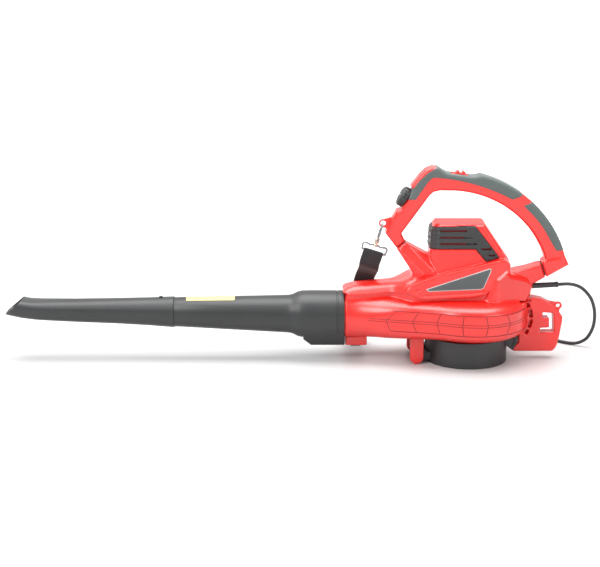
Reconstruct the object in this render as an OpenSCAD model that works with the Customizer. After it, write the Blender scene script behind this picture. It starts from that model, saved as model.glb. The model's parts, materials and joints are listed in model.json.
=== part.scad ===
// Corded leaf blower with a top handle, a shoulder strap and a two-piece blowing tube.
// Millimetres. +Z is up, -X is the blowing direction and the fan turns about Z.
// The origin is the centre of the intake cover's rim, on the surface that the blower stands on.

/* [Fan casing] */
// Radius of the round fan casing
casing_r = 105; // [102:1:108]
// Distance from the fan axis back to the centre of the round casing
casing_x = 10; // [8:1:12]
// Underside of the fan casing
casing_z0 = 50; // [49.5:0.5:51]
// Top of the fan casing
casing_z1 = 126; // [125:0.5:127]
// Radius of the casing's rounded rims
casing_round = 20; // [16:1:24]
// Outer radius of the outlet duct
duct_r = 44; // [42:1:46]
// Height of the outlet duct's axis
duct_z = 87; // [86:1:88]
// Wall of the moulded shells
wall = 3; // [2.5:0.1:3.5]

/* [Motor housing] */
// Half width of the housing behind the badge
mid_w = 58; // [56:1:60]
// Half width of the motor tower
tower_w = 43; // [42:1:45]
// Half width of the ridge over the duct
spine_w = 30; // [26:1:32]
// Half width of the struts that carry the handle
strut_w = 17; // [15:1:18]

/* [Handle] */
// Half width of the handle
handle_w = 17; // [16:1:19]
// Wall of the handle, which the soft grip is let into
handle_wall = 5.5; // [5:0.5:6]
// Thickness of the soft grip
grip_t = 2.5; // [2:0.1:3]
// Diameter of the speed dial
dial_d = 39; // [34:1:42]

/* [Blowing tube] */
// Outer radius of the tube's collar
collar_r = 45; // [44:1:46]
// Outer radius of the rear tube where the nozzle joins it
tube_r = 28; // [26:1:30]
// Wall of the tubes
tube_wall = 2.2; // [2:0.1:2.5]
// Length of the nozzle's sleeve that covers the rear tube
sleeve_l = 42; // [36:1:46]

/* [Intake] */
// Outer radius of the hinged intake cover
cover_r = 78; // [76:1:80]
// Height of the intake cover
cover_h = 49.2; // [46:0.1:49.2]
// Inner radius of the suction inlet
inlet_r = 62; // [60:1:64]
// Number of spokes in the cover's grille
grille_spokes = 16; // [12:1:20]

/* [Fan and motor] */
// Radius of the fan
fan_r = 68; // [64:1:70]
// Number of fan blades
blade_n = 8; // [6:1:10]
// Outer radius of the stator
stator_r = 37; // [35:1:37]

/* [Cord and strap] */
// Diameter of the supply cord
cord_d = 6.5; // [6:0.5:7]
// Width of the strap
strap_w = 38; // [34:1:40]
// Thickness of the strap
strap_t = 1.8; // [1.5:0.1:2]

/* [Hidden] */
$fn = 64;

red = "#d8261f";
black = "#2b2c2e";
rubber = "#4c5250";
steel = "#b9bcc0";
copper = "#b8662f";

slide_gap = 0.8;          // clearance of the tube's collar on the spigot
duct_x = -232;            // front face of the duct
spigot_x = -274;          // front end of the spigot that the tube slides on
spigot_r = collar_r - tube_wall - slide_gap;
seat_z = 133;             // raised seat of the fan's plate, on top of the casing

hinge = [-97, 13];        // axis of the intake cover's hinge, x and z
foot_y = 36;              // inner face of each front foot
foot_t = 10;              // thickness of each front foot

tube_kink = -337;         // where the collar's cone ends
joint_x = -557;           // where the nozzle's sleeve ends
tip_x = -880;             // the nozzle's lip
nozzle_tilt = 1;          // the tapered tube rises by this angle

cord_exit_z = 142;        // height of the cord guard where it leaves the housing
guard_tilt = 3;
plug_at = [118, 134, 13]; // where the cord enters the plug

eye = [-162, 0, 263.5];   // centre of the front strap eye
hang = 17.5;              // lean of the hook from upright
rear_eye = [174, 0, 103.5];

// A circle's arc as points, from angle a0 to a1 in n steps.
function arc(c, r, a0, a1, n) = [for (i = [0:n]) let (a = a0 + (a1 - a0) * i / n)
    c + r * [cos(a), sin(a)]];

// ---- helpers ----

// Extrudes a side outline of x and z points across y, over the half width w.
module side(pts, w, inset = 0) {
    rotate([90, 0, 0]) linear_extrude(2 * (w - inset), center = true)
        if (inset == 0) polygon(pts);
        else offset(delta = -inset) polygon(pts);
}

// A cylinder along y between y0 and y1 at x, z.
module rod_y(x, z, r, y0, y1) {
    translate([x, y1, z]) rotate([90, 0, 0]) cylinder(r = r, h = y1 - y0);
}

// Keeps the part of the children on one side of the middle plane: -1 is the left side.
module half(sign) {
    intersection() {
        children();
        translate([-400, sign < 0 ? -200 : 0, -50]) cube([800, 200, 500]);
    }
}

// A closed tube through rings of points: the outer rings in order, then the inner ones back.
module ring_loft(rings) {
    n = len(rings[0]);
    m = len(rings);
    polyhedron(
        points = [for (ring = rings) each ring],
        faces = [for (i = [0:m - 1], j = [0:n - 1]) let (k = (i + 1) % m, l = (j + 1) % n)
            each [[i * n + j, i * n + l, k * n + l], [i * n + j, k * n + l, k * n + j]]]);
}

// An oval ring about the tube's axis: x, centre height, half width, half height, and the
// slant that carries its top forward of its bottom.
function oval(x, z, ry, rz, slant = 0, n = 32) = [for (i = [0:n - 1]) let (a = 360 * i / n)
    [x - slant * sin(a), ry * cos(a), z + rz * sin(a)]];

// A solid tube swept along points with rings of n sides; ends are flat.
function unit(v) = v / norm(v);
function heading(p, i) = unit(p[min(i + 1, len(p) - 1)] - p[max(i - 1, 0)]);
function swept_ring(p, i, r, n) = let (t = heading(p, i),
    u = unit(cross(abs(t.z) > 0.9 ? [0, 1, 0] : [0, 0, 1], t)), v = cross(t, u))
    [for (k = [0:n - 1]) p[i] + r * (cos(360 * k / n) * u + sin(360 * k / n) * v)];

// ---- housing ----

function rim_profile(d) = let (r = casing_round - d, x = casing_r - d - r,
    z0 = casing_z0 + d, z1 = casing_z1 - d)
    concat([[0, z0]], arc([x, z0 + r], r, -90, 0, 5), arc([x, z1 - r], r, 0, 90, 5), [[0, z1]]);

// A round slice of the duct at x.
module duct_disc(x, r) {
    translate([x, 0, duct_z]) rotate([0, 90, 0]) cylinder(r = r, h = 1, $fn = 48);
}

// The fan casing and the duct that leads out of it, inset by d.
module casing(d = 0) {
    hull() {
        translate([casing_x, 0, 0]) rotate_extrude($fn = 56) polygon(rim_profile(d));
        translate([0, 0, duct_z]) scale([1, 1, 0.84]) translate([0, 0, -duct_z])
            duct_disc(-153, duct_r - 0.6 - d);
    }
    hull() {
        duct_disc(-151, duct_r - 0.2 - d);
        duct_disc(-94, duct_r - 7.4 - d);
    }
    translate([0, 0, casing_z1 - 21]) cylinder(r = 53 - d, h = seat_z - casing_z1 + 21 - d);
    translate([duct_x + d, 0, duct_z]) rotate([0, 90, 0])
        cylinder(r = duct_r - d, h = -147 - duct_x - d);
}

mid_pts = [[-112, 120], [-116, 146], [-111, 156], [-95, 165.5], [-54, 179], [25, 199.5], [66, 190],
    [42, 140], [30, 120]];
// The ledge that sticks out along the lower and rear edges of the housing's side.
ledge_pts = [[-108, 147], [-94, 131.5], [-2, 135.5], [27, 142.5], [50, 166], [62, 180], [58, 184],
    [44, 170], [33, 149], [-2, 143], [-87, 139], [-102, 154]];
ledge_w = 62.5;
tower_pts = [[-78, 120], [-78, 257], [-62, 271], [24, 271], [75, 196], [77, 178], [77, 120]];
spine_pts = [[-231, 120], [-231, 134.5], [-236, 136.5], [-236, 139], [-229, 144], [-217, 147], [-174, 151.5],
    [-140, 154.5], [-127, 158], [-104, 170], [-96, 120]];
strut_pts = [[-136, 217.8], [-120.3, 229.7], [-72, 203], [-60, 145], [-104, 145], [-104, 173.5]];
rear_pts = [[37, 120], [37, 186], [66, 184], [74, 175], [110, 162], [124, 151], [126, 143], [120, 120]];
rear_plan = [[20, -62], [46, -62], [82, -42], [112, -22], [128, -13], [128, 13], [112, 22], [82, 42],
    [46, 62], [20, 62]];
stub_pts = [[64, 150], [64, 169], [80, 173], [135.5, 189.5], [145, 162.3], [124, 150]];
tower_plan = [[-61, -1], [-78, -0.62], [-78, 0.62], [-61, 1], [60, 1], [77, 0.6], [77, -0.6],
    [60, -1]];

module tower(d = 0) {
    intersection() {
        side(tower_pts, tower_w + 5, d);
        translate([0, 0, 100]) linear_extrude(220)
            offset(delta = -d) polygon([for (p = tower_plan) [p.x, p.y * tower_w]]);
    }
}

module upper_body(d = 0) {
    if (d == 0) side(ledge_pts, ledge_w);
    side(mid_pts, mid_w, d);
    tower(d);
    side(spine_pts, spine_w, d);
    side(strut_pts, strut_w, d);
    intersection() {
        side(rear_pts, 66, d);
        translate([0, 0, 100]) linear_extrude(120) offset(delta = -d) polygon(rear_plan);
    }
    side(stub_pts, strut_w, d);
}

// The grille's opening in the tower, as a side outline.
vent_pts = [[-95, 225], [-95, 267], [9, 269], [52, 209], [29, 199.5], [9, 224]];

// Each screw of the housing: x, z.
housing_screw_at = [[-207, 139], [-134, 146], [-95, 150], [-67, 214], [46, 228], [62, 184],
    [104, 152]];
screw_y = 18;    // seat of the housing screws' heads
screw_tip = -14;

// The feet carry the hinge of the intake cover.
module front_feet() {
    color(red) difference() {
        union() {
            for (y0 = [-foot_y - foot_t, foot_y]) {
                rod_y(hinge.x, hinge.y, 13, y0, y0 + foot_t);
                translate([hinge.x - 13, y0, hinge.y]) cube([26, foot_t, 62]);
            }
        }
        casing();
        rod_y(hinge.x, hinge.y, 3.05, -43.7, 43.7);
    }
}

// The lock block under the duct, with the bay that the lock button moves in.
module lock_block() {
    difference() {
        translate([-231, -11, 27]) cube([41, 22, 22]);
        translate([-221, -6, 20]) cube([18, 12, 22]);
        translate([-224, -8.5, 29.5]) cube([24, 17, 12.5]);
    }
}

// The lower shell: the round fan casing, its duct and the spigot that the tube slides on.
module casing_shell() {
    difference() {
        union() {
            difference() {
                union() {
                    casing();
                    lock_block();
                }
                difference() {
                    casing(wall);
                    // the cut-off wall that starts the scroll, beside the duct's mouth
                    translate([0, 0, casing_z0]) linear_extrude(casing_z1 - casing_z0)
                        polygon([[-150, -50], [-80, -46], [-64, -66], [-61.5, -64], [-78, -42.5],
                            [-150, -46]]);
                }
            }
            translate([spigot_x, 0, duct_z]) rotate([0, 90, 0])
                cylinder(r = spigot_r, h = duct_x - spigot_x + wall);
        }
        // air way through the spigot, the fan's plate above and the suction inlet below
        translate([spigot_x - 1, 0, duct_z]) rotate([0, 90, 0])
            cylinder(r = spigot_r - tube_wall, h = 60);
        translate([0, 0, seat_z - 8]) cylinder(r = 44, h = 12);
        translate([0, 0, casing_z0 - 1]) cylinder(r = inlet_r + 2.1, h = 6);
    }
}

// The upper shell: the ridge, the motor tower and the struts that carry the handle.
module body_shell() {
    difference() {
        union() {
            difference() {
                upper_body();
                upper_body(wall);
            }
            intersection() {
                upper_body();
                for (p = housing_screw_at) rod_y(p.x, p.y, 4.6, -60, 60);
            }
        }
        casing();
        translate([-300, -100, 60]) cube([480, 200, casing_z1 - 60]);
        side(vent_pts, 80);
        for (p = housing_screw_at) {
            rod_y(p.x, p.y, 2, screw_tip - 2, 60);
            rod_y(p.x, p.y, 4, screw_y, 80);
        }
        // cord guard's hole, and the sockets for the handle's tenons
        translate([110, 0, cord_exit_z - 0.5]) rotate([0, 90 - guard_tilt, 0])
            cylinder(r = 5.6, h = 25);
        side([[-133.6, 224.6], [-123.7, 232], [-109.2, 209.2], [-117.2, 203.2]], 11.5);
        side([[125.2, 182.8], [149, 189], [152, 171.6], [130.6, 165.2]], 11.5);
    }
}

module casing_left() { color(red) half(-1) casing_shell(); }
module casing_right() { color(red) half(1) casing_shell(); }
module body_left() { color(red) half(-1) body_shell(); }
module body_right() { color(red) half(1) body_shell(); }

module badge(s) {
    color("#5d6462") translate([0, s * (mid_w + 0.5), 0])
        side([[-82, 150], [36, 189.5], [23, 150.5], [-74, 146]], 0.5);
}
module badge_left() { badge(-1); }
module badge_right() { badge(1); }

// Slots of the vent grille: x from, x to, z.
vent_slots = [[-60, -8, 256.5], [-60, 1, 244], [-60, 9, 231.5], [16, 34, 222], [32, 42, 212]];

module vent_grille() {
    color(black) difference() {
        intersection() {
            tower(-1.5);
            side(vent_pts, 79, 0.25);
        }
        tower(wall);
        for (s = vent_slots) translate([s[0], -80, s[2] - 2]) cube([s[1] - s[0], 160, 4]);
        // air slots in the rounded front of the grille
        for (z = [231.5, 244, 256.5]) translate([-90, -22, z - 2]) cube([20, 44, 4]);
        rod_y(0, 0, 1, -1, 1);
    }
}
module vent_grille_left() { half(-1) vent_grille(); }
module vent_grille_right() { half(1) vent_grille(); }

// ---- handle ----

outer_c = [-36, 137.5];
outer_r = 226;
inner_c = [-40.5, 132.5];
inner_r = 195.5;
handle_pts = concat(
    [[-137, 218.8], [-158, 247], [-148, 270], [-137, 290], [-130, 292], [-108, 331],
        [-112, 335], [-95, 357], [-85, 367], [-73, 372.5], [-62, 371.5], [-53, 364.5],
        [-44, 360], [-35, 359], [0, 354], [8, 354.5]],
    arc(outer_c, outer_r, 76, 17, 18),
    [[188, 187], [162, 172], [146.5, 162.6], [136.8, 190.6], [143.5, 195]],
    arc(inner_c, inner_r, 22, 88, 18),
    [[-58, 328], [-70, 325], [-77, 318.5], [-128, 246.5], [-121, 230.6]]);
dial_at = [-119, 0, 311.5];
dial_a = -atan2(39, 22);
switch_at = [-20, 0, 356.2];
switch_a = 6.5;
switch_travel = 6;

// The side outlines of the two soft grips.
front_grip_pts = concat(
    [[-111, 310], [-102, 308], [-81.5, 342], [-73, 348]],
    arc([-81, -12], 360, 88, 64.5, 10),
    [[97, 319], [60, 400], [-50, 400], [-62.5, 369], [-80, 361], [-91, 343]]);
rear_grip_pts = concat(arc(outer_c, 205, 45.5, 25, 8), arc(outer_c, 250, 21, 49, 8));

// The handle's core under the grips.
module grip_core() { side(handle_pts, handle_w - 2 + grip_t, grip_t); }

module grip_layer(pts) {
    difference() {
        intersection() {
            side(pts, handle_w + 5);
            side(handle_pts, handle_w + 0.4);
        }
        grip_core();
    }
}

// Each screw of the handle: x, z.
handle_screw_at = [[-137, 262], [-71, 336], [38, 318.5], [118, 262], [160, 187]];

module dial_frame() { translate(dial_at) rotate([0, dial_a, 0]) children(); }
module switch_frame() { translate(switch_at) rotate([0, switch_a, 0]) children(); }

module strap_eye() {
    difference() {
        union() {
            rod_y(eye.x, eye.z, 8.5, -2.5, 2.5);
            side([[-165, 271.6], [-146, 276], [-150, 252], [-157, 250], [-168, 257]], 2.5);
        }
        rod_y(eye.x, eye.z, 5, -4, 4);
    }
}

module handle() {
    difference() {
        union() {
            difference() {
                union() {
                    side(handle_pts, handle_w);
                    strap_eye();
                }
                side(handle_pts, handle_w, handle_wall);
            }
            intersection() {
                side(handle_pts, handle_w);
                for (p = handle_screw_at) rod_y(p.x, p.y, 5.4, -30, 30);
            }
            // tenons that enter the struts
            side([[-132.5, 224.5], [-124, 231], [-110, 209], [-117, 204]], 11);
            side([[126, 182], [145, 187], [149, 171], [131, 166]], 11);
        }
        for (pts = [front_grip_pts, rear_grip_pts]) difference() {
            side(pts, handle_w + 5);
            grip_core();
        }
        for (p = handle_screw_at) {
            rod_y(p.x, p.y, 2, -11, 30);
            rod_y(p.x, p.y, 4, 10, 30);
        }
        dial_frame() translate([0, 0, -12]) cylinder(r = 3.4, h = 24);
        switch_frame() translate([-11.5, -4.6, -14]) cube([17, 9.2, 24]);
    }
}
module handle_left() { color(red) half(-1) handle(); }
module handle_right() { color(red) half(1) handle(); }

module front_grip() {
    color(rubber) difference() {
        grip_layer(front_grip_pts);
        switch_frame() translate([-11.5, -4.6, -14]) cube([17, 9.2, 24]);
    }
}
module rear_grip() { color(rubber) grip_layer(rear_grip_pts); }

module switch_slider() {
    color(red) switch_frame() {
        translate([-10, -7.5, 1.5]) cube([21, 15, 2]);
        for (x = [-5, 5.5]) {
            translate([x - 2.6, -6.5, 3]) cube([5.2, 13, 2]);
            translate([x, 6.5, 5]) rotate([90, 0, 0]) cylinder(r = 2.6, h = 13);
        }
        translate([-4.5, -4, -9]) cube([9, 8, 11]);
    }
}

module switch_unit() {
    color(black) switch_frame() difference() {
        translate([-17, -8, -21]) cube([30, 16, 13]);
        translate([-11.5, -4.6, -12]) cube([17, 9.2, 5]);
    }
}

module speed_dial() {
    color(black) dial_frame() {
        difference() {
            union() {
                translate([0, 0, 0.7]) cylinder(d = dial_d, h = 9);
                translate([0, 0, 9.7]) cylinder(d1 = dial_d, d2 = dial_d - 8, h = 4);
            }
            for (a = [0:20:359]) rotate(a) translate([dial_d / 2 + 0.6, 0, -1])
                cylinder(r = 1.8, h = 16, $fn = 16);
        }
        translate([0, 0, -11]) cylinder(r = 2.9, h = 12);
    }
}

module speed_control() {
    color("#3a6f49") dial_frame() difference() {
        translate([0, 0, -17.5]) cylinder(r = 8, h = 10);
        translate([0, 0, -12]) cylinder(r = 2.95, h = 6);
    }
}

module control_board() {
    color("#2f7a45") dial_frame() translate([-44, -8, -16.5]) {
        cube([33, 16, 1.6]);
        translate([4, 2, 1.6]) cube([9, 11, 5]);
        translate([18, 4, 1.6]) cube([12, 8, 4]);
    }
}

module screw(x, z, seat, tip) {
    rod_y(x, z, 3.6, seat + 0.05, seat + 2.4);
    rod_y(x, z, 1.9, tip, seat + 0.1);
}
module housing_screws() { color(steel) for (p = housing_screw_at) screw(p.x, p.y, screw_y, screw_tip); }
module handle_screws() { color(steel) for (p = handle_screw_at) screw(p.x, p.y, 10, -10); }

// ---- rear bracket ----

bracket_t = 28;
bracket_pts = [[92, 13.5], [86, 21], [99, 34], [99, 112], [97, 118], [125, 124], [152, 118],
    [183, 83], [184, 74], [180, 46], [174, 21], [166, 14.5]];

// The opening that a loop of extension cord is hooked through, round a tongue.
cord_opening_pts = [[144, 94], [163, 91], [166.5, 54], [139, 53], [140, 62], [155, 64], [154, 80],
    [143, 82]];

module bracket_shell() {
    difference() {
        side(bracket_pts, bracket_t / 2);
        // the hollow inside the moulded walls
        side(bracket_pts, bracket_t / 2 - 3 + 4, 4);
    }
    intersection() {
        side(bracket_pts, bracket_t / 2);
        side(cord_opening_pts, bracket_t / 2 - 3, -3);
    }
}

module rear_bracket() {
    color(red) difference() {
        union() {
            bracket_shell();
            rod_y(rear_eye.x, rear_eye.z, 7.5, -2.5, 2.5);
        }
        // it stands clear of the casing that it is screwed to
        translate([casing_x, 0, 0]) rotate_extrude() polygon(rim_profile(-0.25));
        // slots beside the casing
        for (a = [-30, -11.5, 11.5, 30]) translate([70, -20, 81]) rotate([0, -a, 0])
            translate([50, 0, abs(a) > 20 ? -4.5 : -8]) cube([6, 12, abs(a) > 20 ? 9 : 16]);
        side(cord_opening_pts, 20);
        rod_y(rear_eye.x, rear_eye.z, 3.75, -10, 10);
    }
}

// ---- intake ----

module intake_ring() {
    color(red) difference() {
        union() {
            translate([0, 0, casing_z0 - 7]) cylinder(r = inlet_r + 2, h = 11);
            translate([0, 0, casing_z0 - 3]) cylinder(r = inlet_r + 7, h = 2.95);
        }
        translate([0, 0, 30]) cylinder(r = inlet_r, h = 30);
    }
}

module cover_hinge_pin() { color(steel) rod_y(hinge.x, hinge.y, 3, -43.5, 43.5); }

module intake_cover() {
    color(black) difference() {
        union() {
            cylinder(r = cover_r, h = cover_h, $fn = 96);
            // ears on the hinge pin
            for (y = [-34, 16]) {
                rod_y(hinge.x, hinge.y, 8, y, y + 18);
                translate([hinge.x, y, hinge.y - 8]) cube([40, 18, 16]);
            }
            // latch ear beside the rear bracket
            translate([0, 19.5, 0]) side([[70, 26], [84, 25], [97, 38], [97, 48], [70, 48]], 4);
        }
        translate([0, 0, -1]) cylinder(r = cover_r - 3, h = 60, $fn = 96);
        rod_y(hinge.x, hinge.y, 3.1, -60, 60);
    }
}

// The grille in the cover: rings and spokes on a shoulder of the rim.
module intake_grille() {
    color(black) {
        cylinder(r = 14, h = 10);
        for (r = [31, 46, 61]) translate([0, 0, 6]) difference() {
            cylinder(r = r, h = 4);
            translate([0, 0, -1]) cylinder(r = r - 2.4, h = 6);
        }
        translate([0, 0, 6]) difference() {
            cylinder(r = cover_r - 3.2, h = 5);
            translate([0, 0, -1]) cylinder(r = cover_r - 6, h = 7);
        }
        for (i = [0:grille_spokes - 1]) rotate(360 / grille_spokes * (i + 0.5))
            translate([12, -1.1, 6.2]) cube([cover_r - 17, 2.2, 3.6]);
    }
}

module cover_spring() {
    color(steel) for (y = [-11:2.2:11]) translate([hinge.x, y, hinge.y]) rotate([90, 0, 0])
        rotate_extrude($fn = 32) translate([5, 0]) circle(r = 1, $fn = 16);
}

// ---- fan and motor ----

module blade_row() {
    for (i = [0:blade_n - 1]) rotate(i * 360 / blade_n)
        rotate([90, 0, 0]) linear_extrude(3, center = true)
            polygon([[9, 118], [9, 92], [26, 66], [fan_r - 2, 66], [fan_r - 2, 118]]);
}

module fan_impeller() {
    color("#3b3d40") difference() {
        union() {
            translate([0, 0, 117]) cylinder(r = fan_r, h = 3);
            translate([0, 0, 84]) cylinder(r = 11, h = 40);
            blade_row();
        }
        translate([0, 0, 60]) cylinder(r = 5.05, h = 80);
    }
}

module fan_nut() {
    color(steel) translate([0, 0, 76]) difference() {
        cylinder(r = 9, h = 7.9, $fn = 6);
        translate([0, 0, -1]) cylinder(r = 5.05, h = 10);
    }
}

module fan_shaft() {
    color(steel) {
        translate([0, 0, 72]) cylinder(r = 5, h = 65);
        translate([0, 0, 137]) cylinder(r = 4, h = 119);
    }
}

// The plate that closes the fan casing and carries the motor.
module fan_plate() {
    color(black) difference() {
        union() {
            translate([0, 0, seat_z + 0.3]) cylinder(r = 49, h = 3);
            translate([0, 0, 126.5]) cylinder(r = 43.7, h = 8);
            translate([0, 0, 130]) cylinder(r = 15, h = 16);
            translate([0, 0, 134]) cylinder(r = stator_r + 2.9, h = 40);
        }
        translate([0, 0, 146]) cylinder(r = stator_r + 0.1, h = 30);
        difference() {
            translate([0, 0, 137]) cylinder(r = stator_r + 0.1, h = 12);
            translate([0, 0, 130]) cylinder(r = 15, h = 16);
        }
        translate([0, 0, 126]) cylinder(r = 41.5, h = 4);
        translate([0, 0, 138]) cylinder(r = 11, h = 12);
        translate([0, 0, 120]) cylinder(r = 6, h = 30);
        for (a = [45:90:315]) rotate(a) translate([stator_r - 4, -11, 142]) cube([12, 22, 14]);
    }
}

module ball_bearing(z, bore, outer, w) {
    translate([0, 0, z]) difference() {
        cylinder(r = outer, h = w);
        translate([0, 0, -1]) cylinder(r = bore, h = w + 2);
    }
}
module lower_bearing() { color(steel) ball_bearing(138.05, 4.05, 10.95, 7); }
module upper_bearing() { color(steel) ball_bearing(246, 4.05, 9.45, 6); }

module motor_stator() {
    color("#8d9196") translate([0, 0, 163]) difference() {
        cylinder(r = stator_r, h = 44);
        translate([0, 0, -1]) cylinder(r = 24, h = 46);
        for (a = [0, 180]) rotate(a) translate([23, -16, -1]) cube([8, 32, 46]);
    }
}

// The field coils: a loop on each side of the armature, in the stator's slots.
module field_coils() {
    color(copper) for (a = [0, 180]) rotate(a) translate([24.8, 0, 185]) rotate([0, 90, 0])
        linear_extrude(5.4) difference() {
            square([60, 30], center = true);
            square([44.6, 18], center = true);
        }
}

module motor_bracket() {
    color(black) difference() {
        union() {
            translate([0, 0, 207.2]) cylinder(r = stator_r, h = 38);
            translate([0, 0, 245.2]) cylinder(r1 = stator_r, r2 = stator_r - 3.5, h = 4);
            translate([0, 0, 240]) cylinder(r = 13, h = 13);
        }
        translate([0, 0, 206]) cylinder(r = stator_r - 2.5, h = 39);
        translate([0, 0, 245.9]) cylinder(r = 9.5, h = 12);
        translate([0, 0, 230]) cylinder(r = 6, h = 30);
        for (a = [0:60:300]) rotate(a) translate([20, -7, 240]) cube([12, 14, 20]);
        for (a = [30:60:330]) rotate(a) translate([30, -9, 210]) cube([12, 18, 8]);
        for (a = [0, 180]) rotate(a) translate([28, -6.4, 219.6]) cube([20, 12.8, 10.8]);
    }
}

module brush_holders() {
    color("#c8a04a") for (a = [0, 180]) rotate(a) translate([14.6, -6, 220]) difference() {
        cube([22, 12, 10]);
        translate([-1, 2.4, 2]) cube([18, 7.2, 6]);
    }
}

module carbon_brushes() {
    color("#26272a") for (a = [0, 180]) rotate(a) translate([13.4, -3.4, 222.2]) cube([16, 6.8, 5.6]);
}

module armature_core() {
    color("#7f8388") translate([0, 0, 165]) difference() {
        cylinder(r = 22.8, h = 40);
        translate([0, 0, -1]) cylinder(r = 4, h = 42);
        for (a = [0:30:330]) rotate(a) translate([19, -1.2, -1]) cube([6, 2.4, 42]);
    }
}

module armature_windings() {
    color(copper) for (z = [157, 205]) translate([0, 0, z]) difference() {
        cylinder(r = 19.5, h = 8);
        translate([0, 0, -1]) cylinder(r = 4, h = 10);
    }
}

module commutator() {
    color(copper) translate([0, 0, 215]) difference() {
        cylinder(r = 13, h = 18);
        translate([0, 0, -1]) cylinder(r = 4, h = 20);
        for (a = [0:15:345]) rotate(a) translate([12, -0.4, -1]) cube([3, 0.8, 20]);
    }
}

module cooling_fan() {
    color(black) difference() {
        union() {
            translate([0, 0, 147.5]) cylinder(r = 33, h = 1.8);
            translate([0, 0, 147.5]) cylinder(r = 8, h = 7);
            for (a = [0:30:330]) rotate(a) translate([14, -0.9, 149]) cube([18, 1.8, 4.5]);
        }
        translate([0, 0, 140]) cylinder(r = 4, h = 20);
    }
}

// ---- blowing tube ----

// Stations of the rear tube: x, centre height, outer radius.
tube_stations = [[-234, duct_z, collar_r], [-238, duct_z, collar_r + 0.4], [-302, duct_z, collar_r],
    [tube_kink, duct_z, 36.2], [joint_x + 1, duct_z + 3.8, tube_r],
    [joint_x - sleeve_l + 4, duct_z + 4.5, tube_r - 3.2]];
function tube_ring(s, d) = oval(s[0], s[1], s[2] - d, s[2] - d);

module rear_tube() {
    color(black) difference() {
        union() {
            ring_loft(concat(
                [for (s = tube_stations) tube_ring(s, s[0] < joint_x ? 0.2 : 0)],
                [for (i = [len(tube_stations) - 1:-1:0]) tube_ring(tube_stations[i], tube_wall)]));
            // the rail that the lock button holds
            translate([-298, -9, duct_z - collar_r - 13]) cube([63, 18, 14.5]);
        }
        translate([-300, -6, duct_z - collar_r - 16]) cube([58, 12, 13]);
        translate([-246, -3.5, duct_z - collar_r - 16]) cube([6, 7, 13]);
    }
}

// A thin printed strip on top of the rear tube.
label_x = [-534, -442];
module tube_label() {
    z0 = duct_z + 3.8 * (tube_kink - label_x[0]) / (tube_kink - joint_x);
    z1 = duct_z + 3.8 * (tube_kink - label_x[1]) / (tube_kink - joint_x);
    r0 = tube_r + (36.2 - tube_r) * (label_x[0] - joint_x) / (tube_kink - joint_x);
    r1 = tube_r + (36.2 - tube_r) * (label_x[1] - joint_x) / (tube_kink - joint_x);
    function strip(x, z, r) = concat(
        [for (a = [62:8:118]) [x, (r + 0.7) * cos(a), z + (r + 0.7) * sin(a)]],
        [for (a = [118:-8:62]) [x, (r + 0.15) * cos(a), z + (r + 0.15) * sin(a)]]);
    a = strip(label_x[0], z0, r0);
    b = strip(label_x[1], z1, r1);
    n = len(a);
    color("#f2e58c") polyhedron(points = concat(a, b), faces = concat(
        [for (i = [0:n - 1]) let (j = (i + 1) % n) [i, n + i, n + j]],
        [for (i = [0:n - 1]) let (j = (i + 1) % n) [i, n + j, j]],
        [for (i = [0:n / 2 - 2]) [i, i + 1, n - 2 - i]], [for (i = [0:n / 2 - 2]) [i, n - 2 - i, n - 1 - i]],
        [for (i = [0:n / 2 - 2]) [n + i, 2 * n - 2 - i, n + i + 1]],
        [for (i = [0:n / 2 - 2]) [n + i, 2 * n - 1 - i, 2 * n - 2 - i]]));
}

// Stations of the nozzle: x, centre height, half width, half height, slant of the section.
nozzle_stations = [
    [joint_x, duct_z + 3.8, tube_r + 1.4, tube_r + 1.4, 0],
    [joint_x - sleeve_l, duct_z + 4.6, tube_r - 0.6, tube_r - 0.8, 0],
    [-660, duct_z + 5.8, 26, 24.4, 0],
    [-745, duct_z + 7, 26, 21.6, 0],
    [-800, duct_z + 8.6, 27, 19.6, -1],
    [-837, duct_z + 11.4, 28, 17.2, -8],
    [-862, duct_z + 16.4, 28.5, 14.4, -16]];
function nozzle_ring(s, d) = oval(s[0], s[1], s[2] - d, s[3] - d, s[4]);

module front_nozzle() {
    color(black) difference() {
        ring_loft(concat([for (s = nozzle_stations) nozzle_ring(s, 0)],
            [for (i = [len(nozzle_stations) - 1:-1:0]) nozzle_ring(nozzle_stations[i],
                i > 0 ? 1.8 : 1.2)]));
        translate([joint_x - 26, 0, duct_z]) cylinder(r = 2.3, h = 60);
    }
}

module nozzle_catch() {
    color("#1c1d1f") translate([joint_x - 26, 0, duct_z + 4.1 + tube_r - 1.6]) {
        cylinder(r = 2.1, h = 3);
        translate([0, 0, 2.4]) cylinder(r = 3.2, h = 1.8);
    }
}

// ---- tube lock ----

module tube_lock_button() {
    color(black) {
        translate([-220.6, -5.6, 24.6]) cube([17.2, 11.2, 6]);
        translate([-223.4, -8, 29.8]) cube([22.8, 16, 3.2]);
    }
}

module tube_lock_spring() {
    color(steel) translate([-212, 0, 33.8]) for (z = [0:1.85:7.5]) translate([0, 0, z])
        rotate_extrude($fn = 32) translate([3.5, 0]) circle(r = 0.6, $fn = 16);
}

// ---- cord ----

module cord_guard() {
    color(black) translate([110, 0, cord_exit_z - 0.5]) rotate([0, 90 - guard_tilt, 0]) difference() {
        union() {
            translate([0, 0, 4]) cylinder(r = 7, h = 3);
            translate([0, 0, 6]) cylinder(r1 = 5.4, r2 = 4.9, h = 53);
            translate([0, 0, 58]) cylinder(r = 5.6, h = 4);
        }
        translate([0, 0, 57]) cylinder(r = cord_d / 2 + 0.1, h = 6);
    }
}

module cord_clamp() {
    color(black) {
        translate([88.5, -12, 137]) cube([10, 24, 3]);
        translate([88.5, -12, 147.4]) cube([10, 24, 3]);
    }
}

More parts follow.
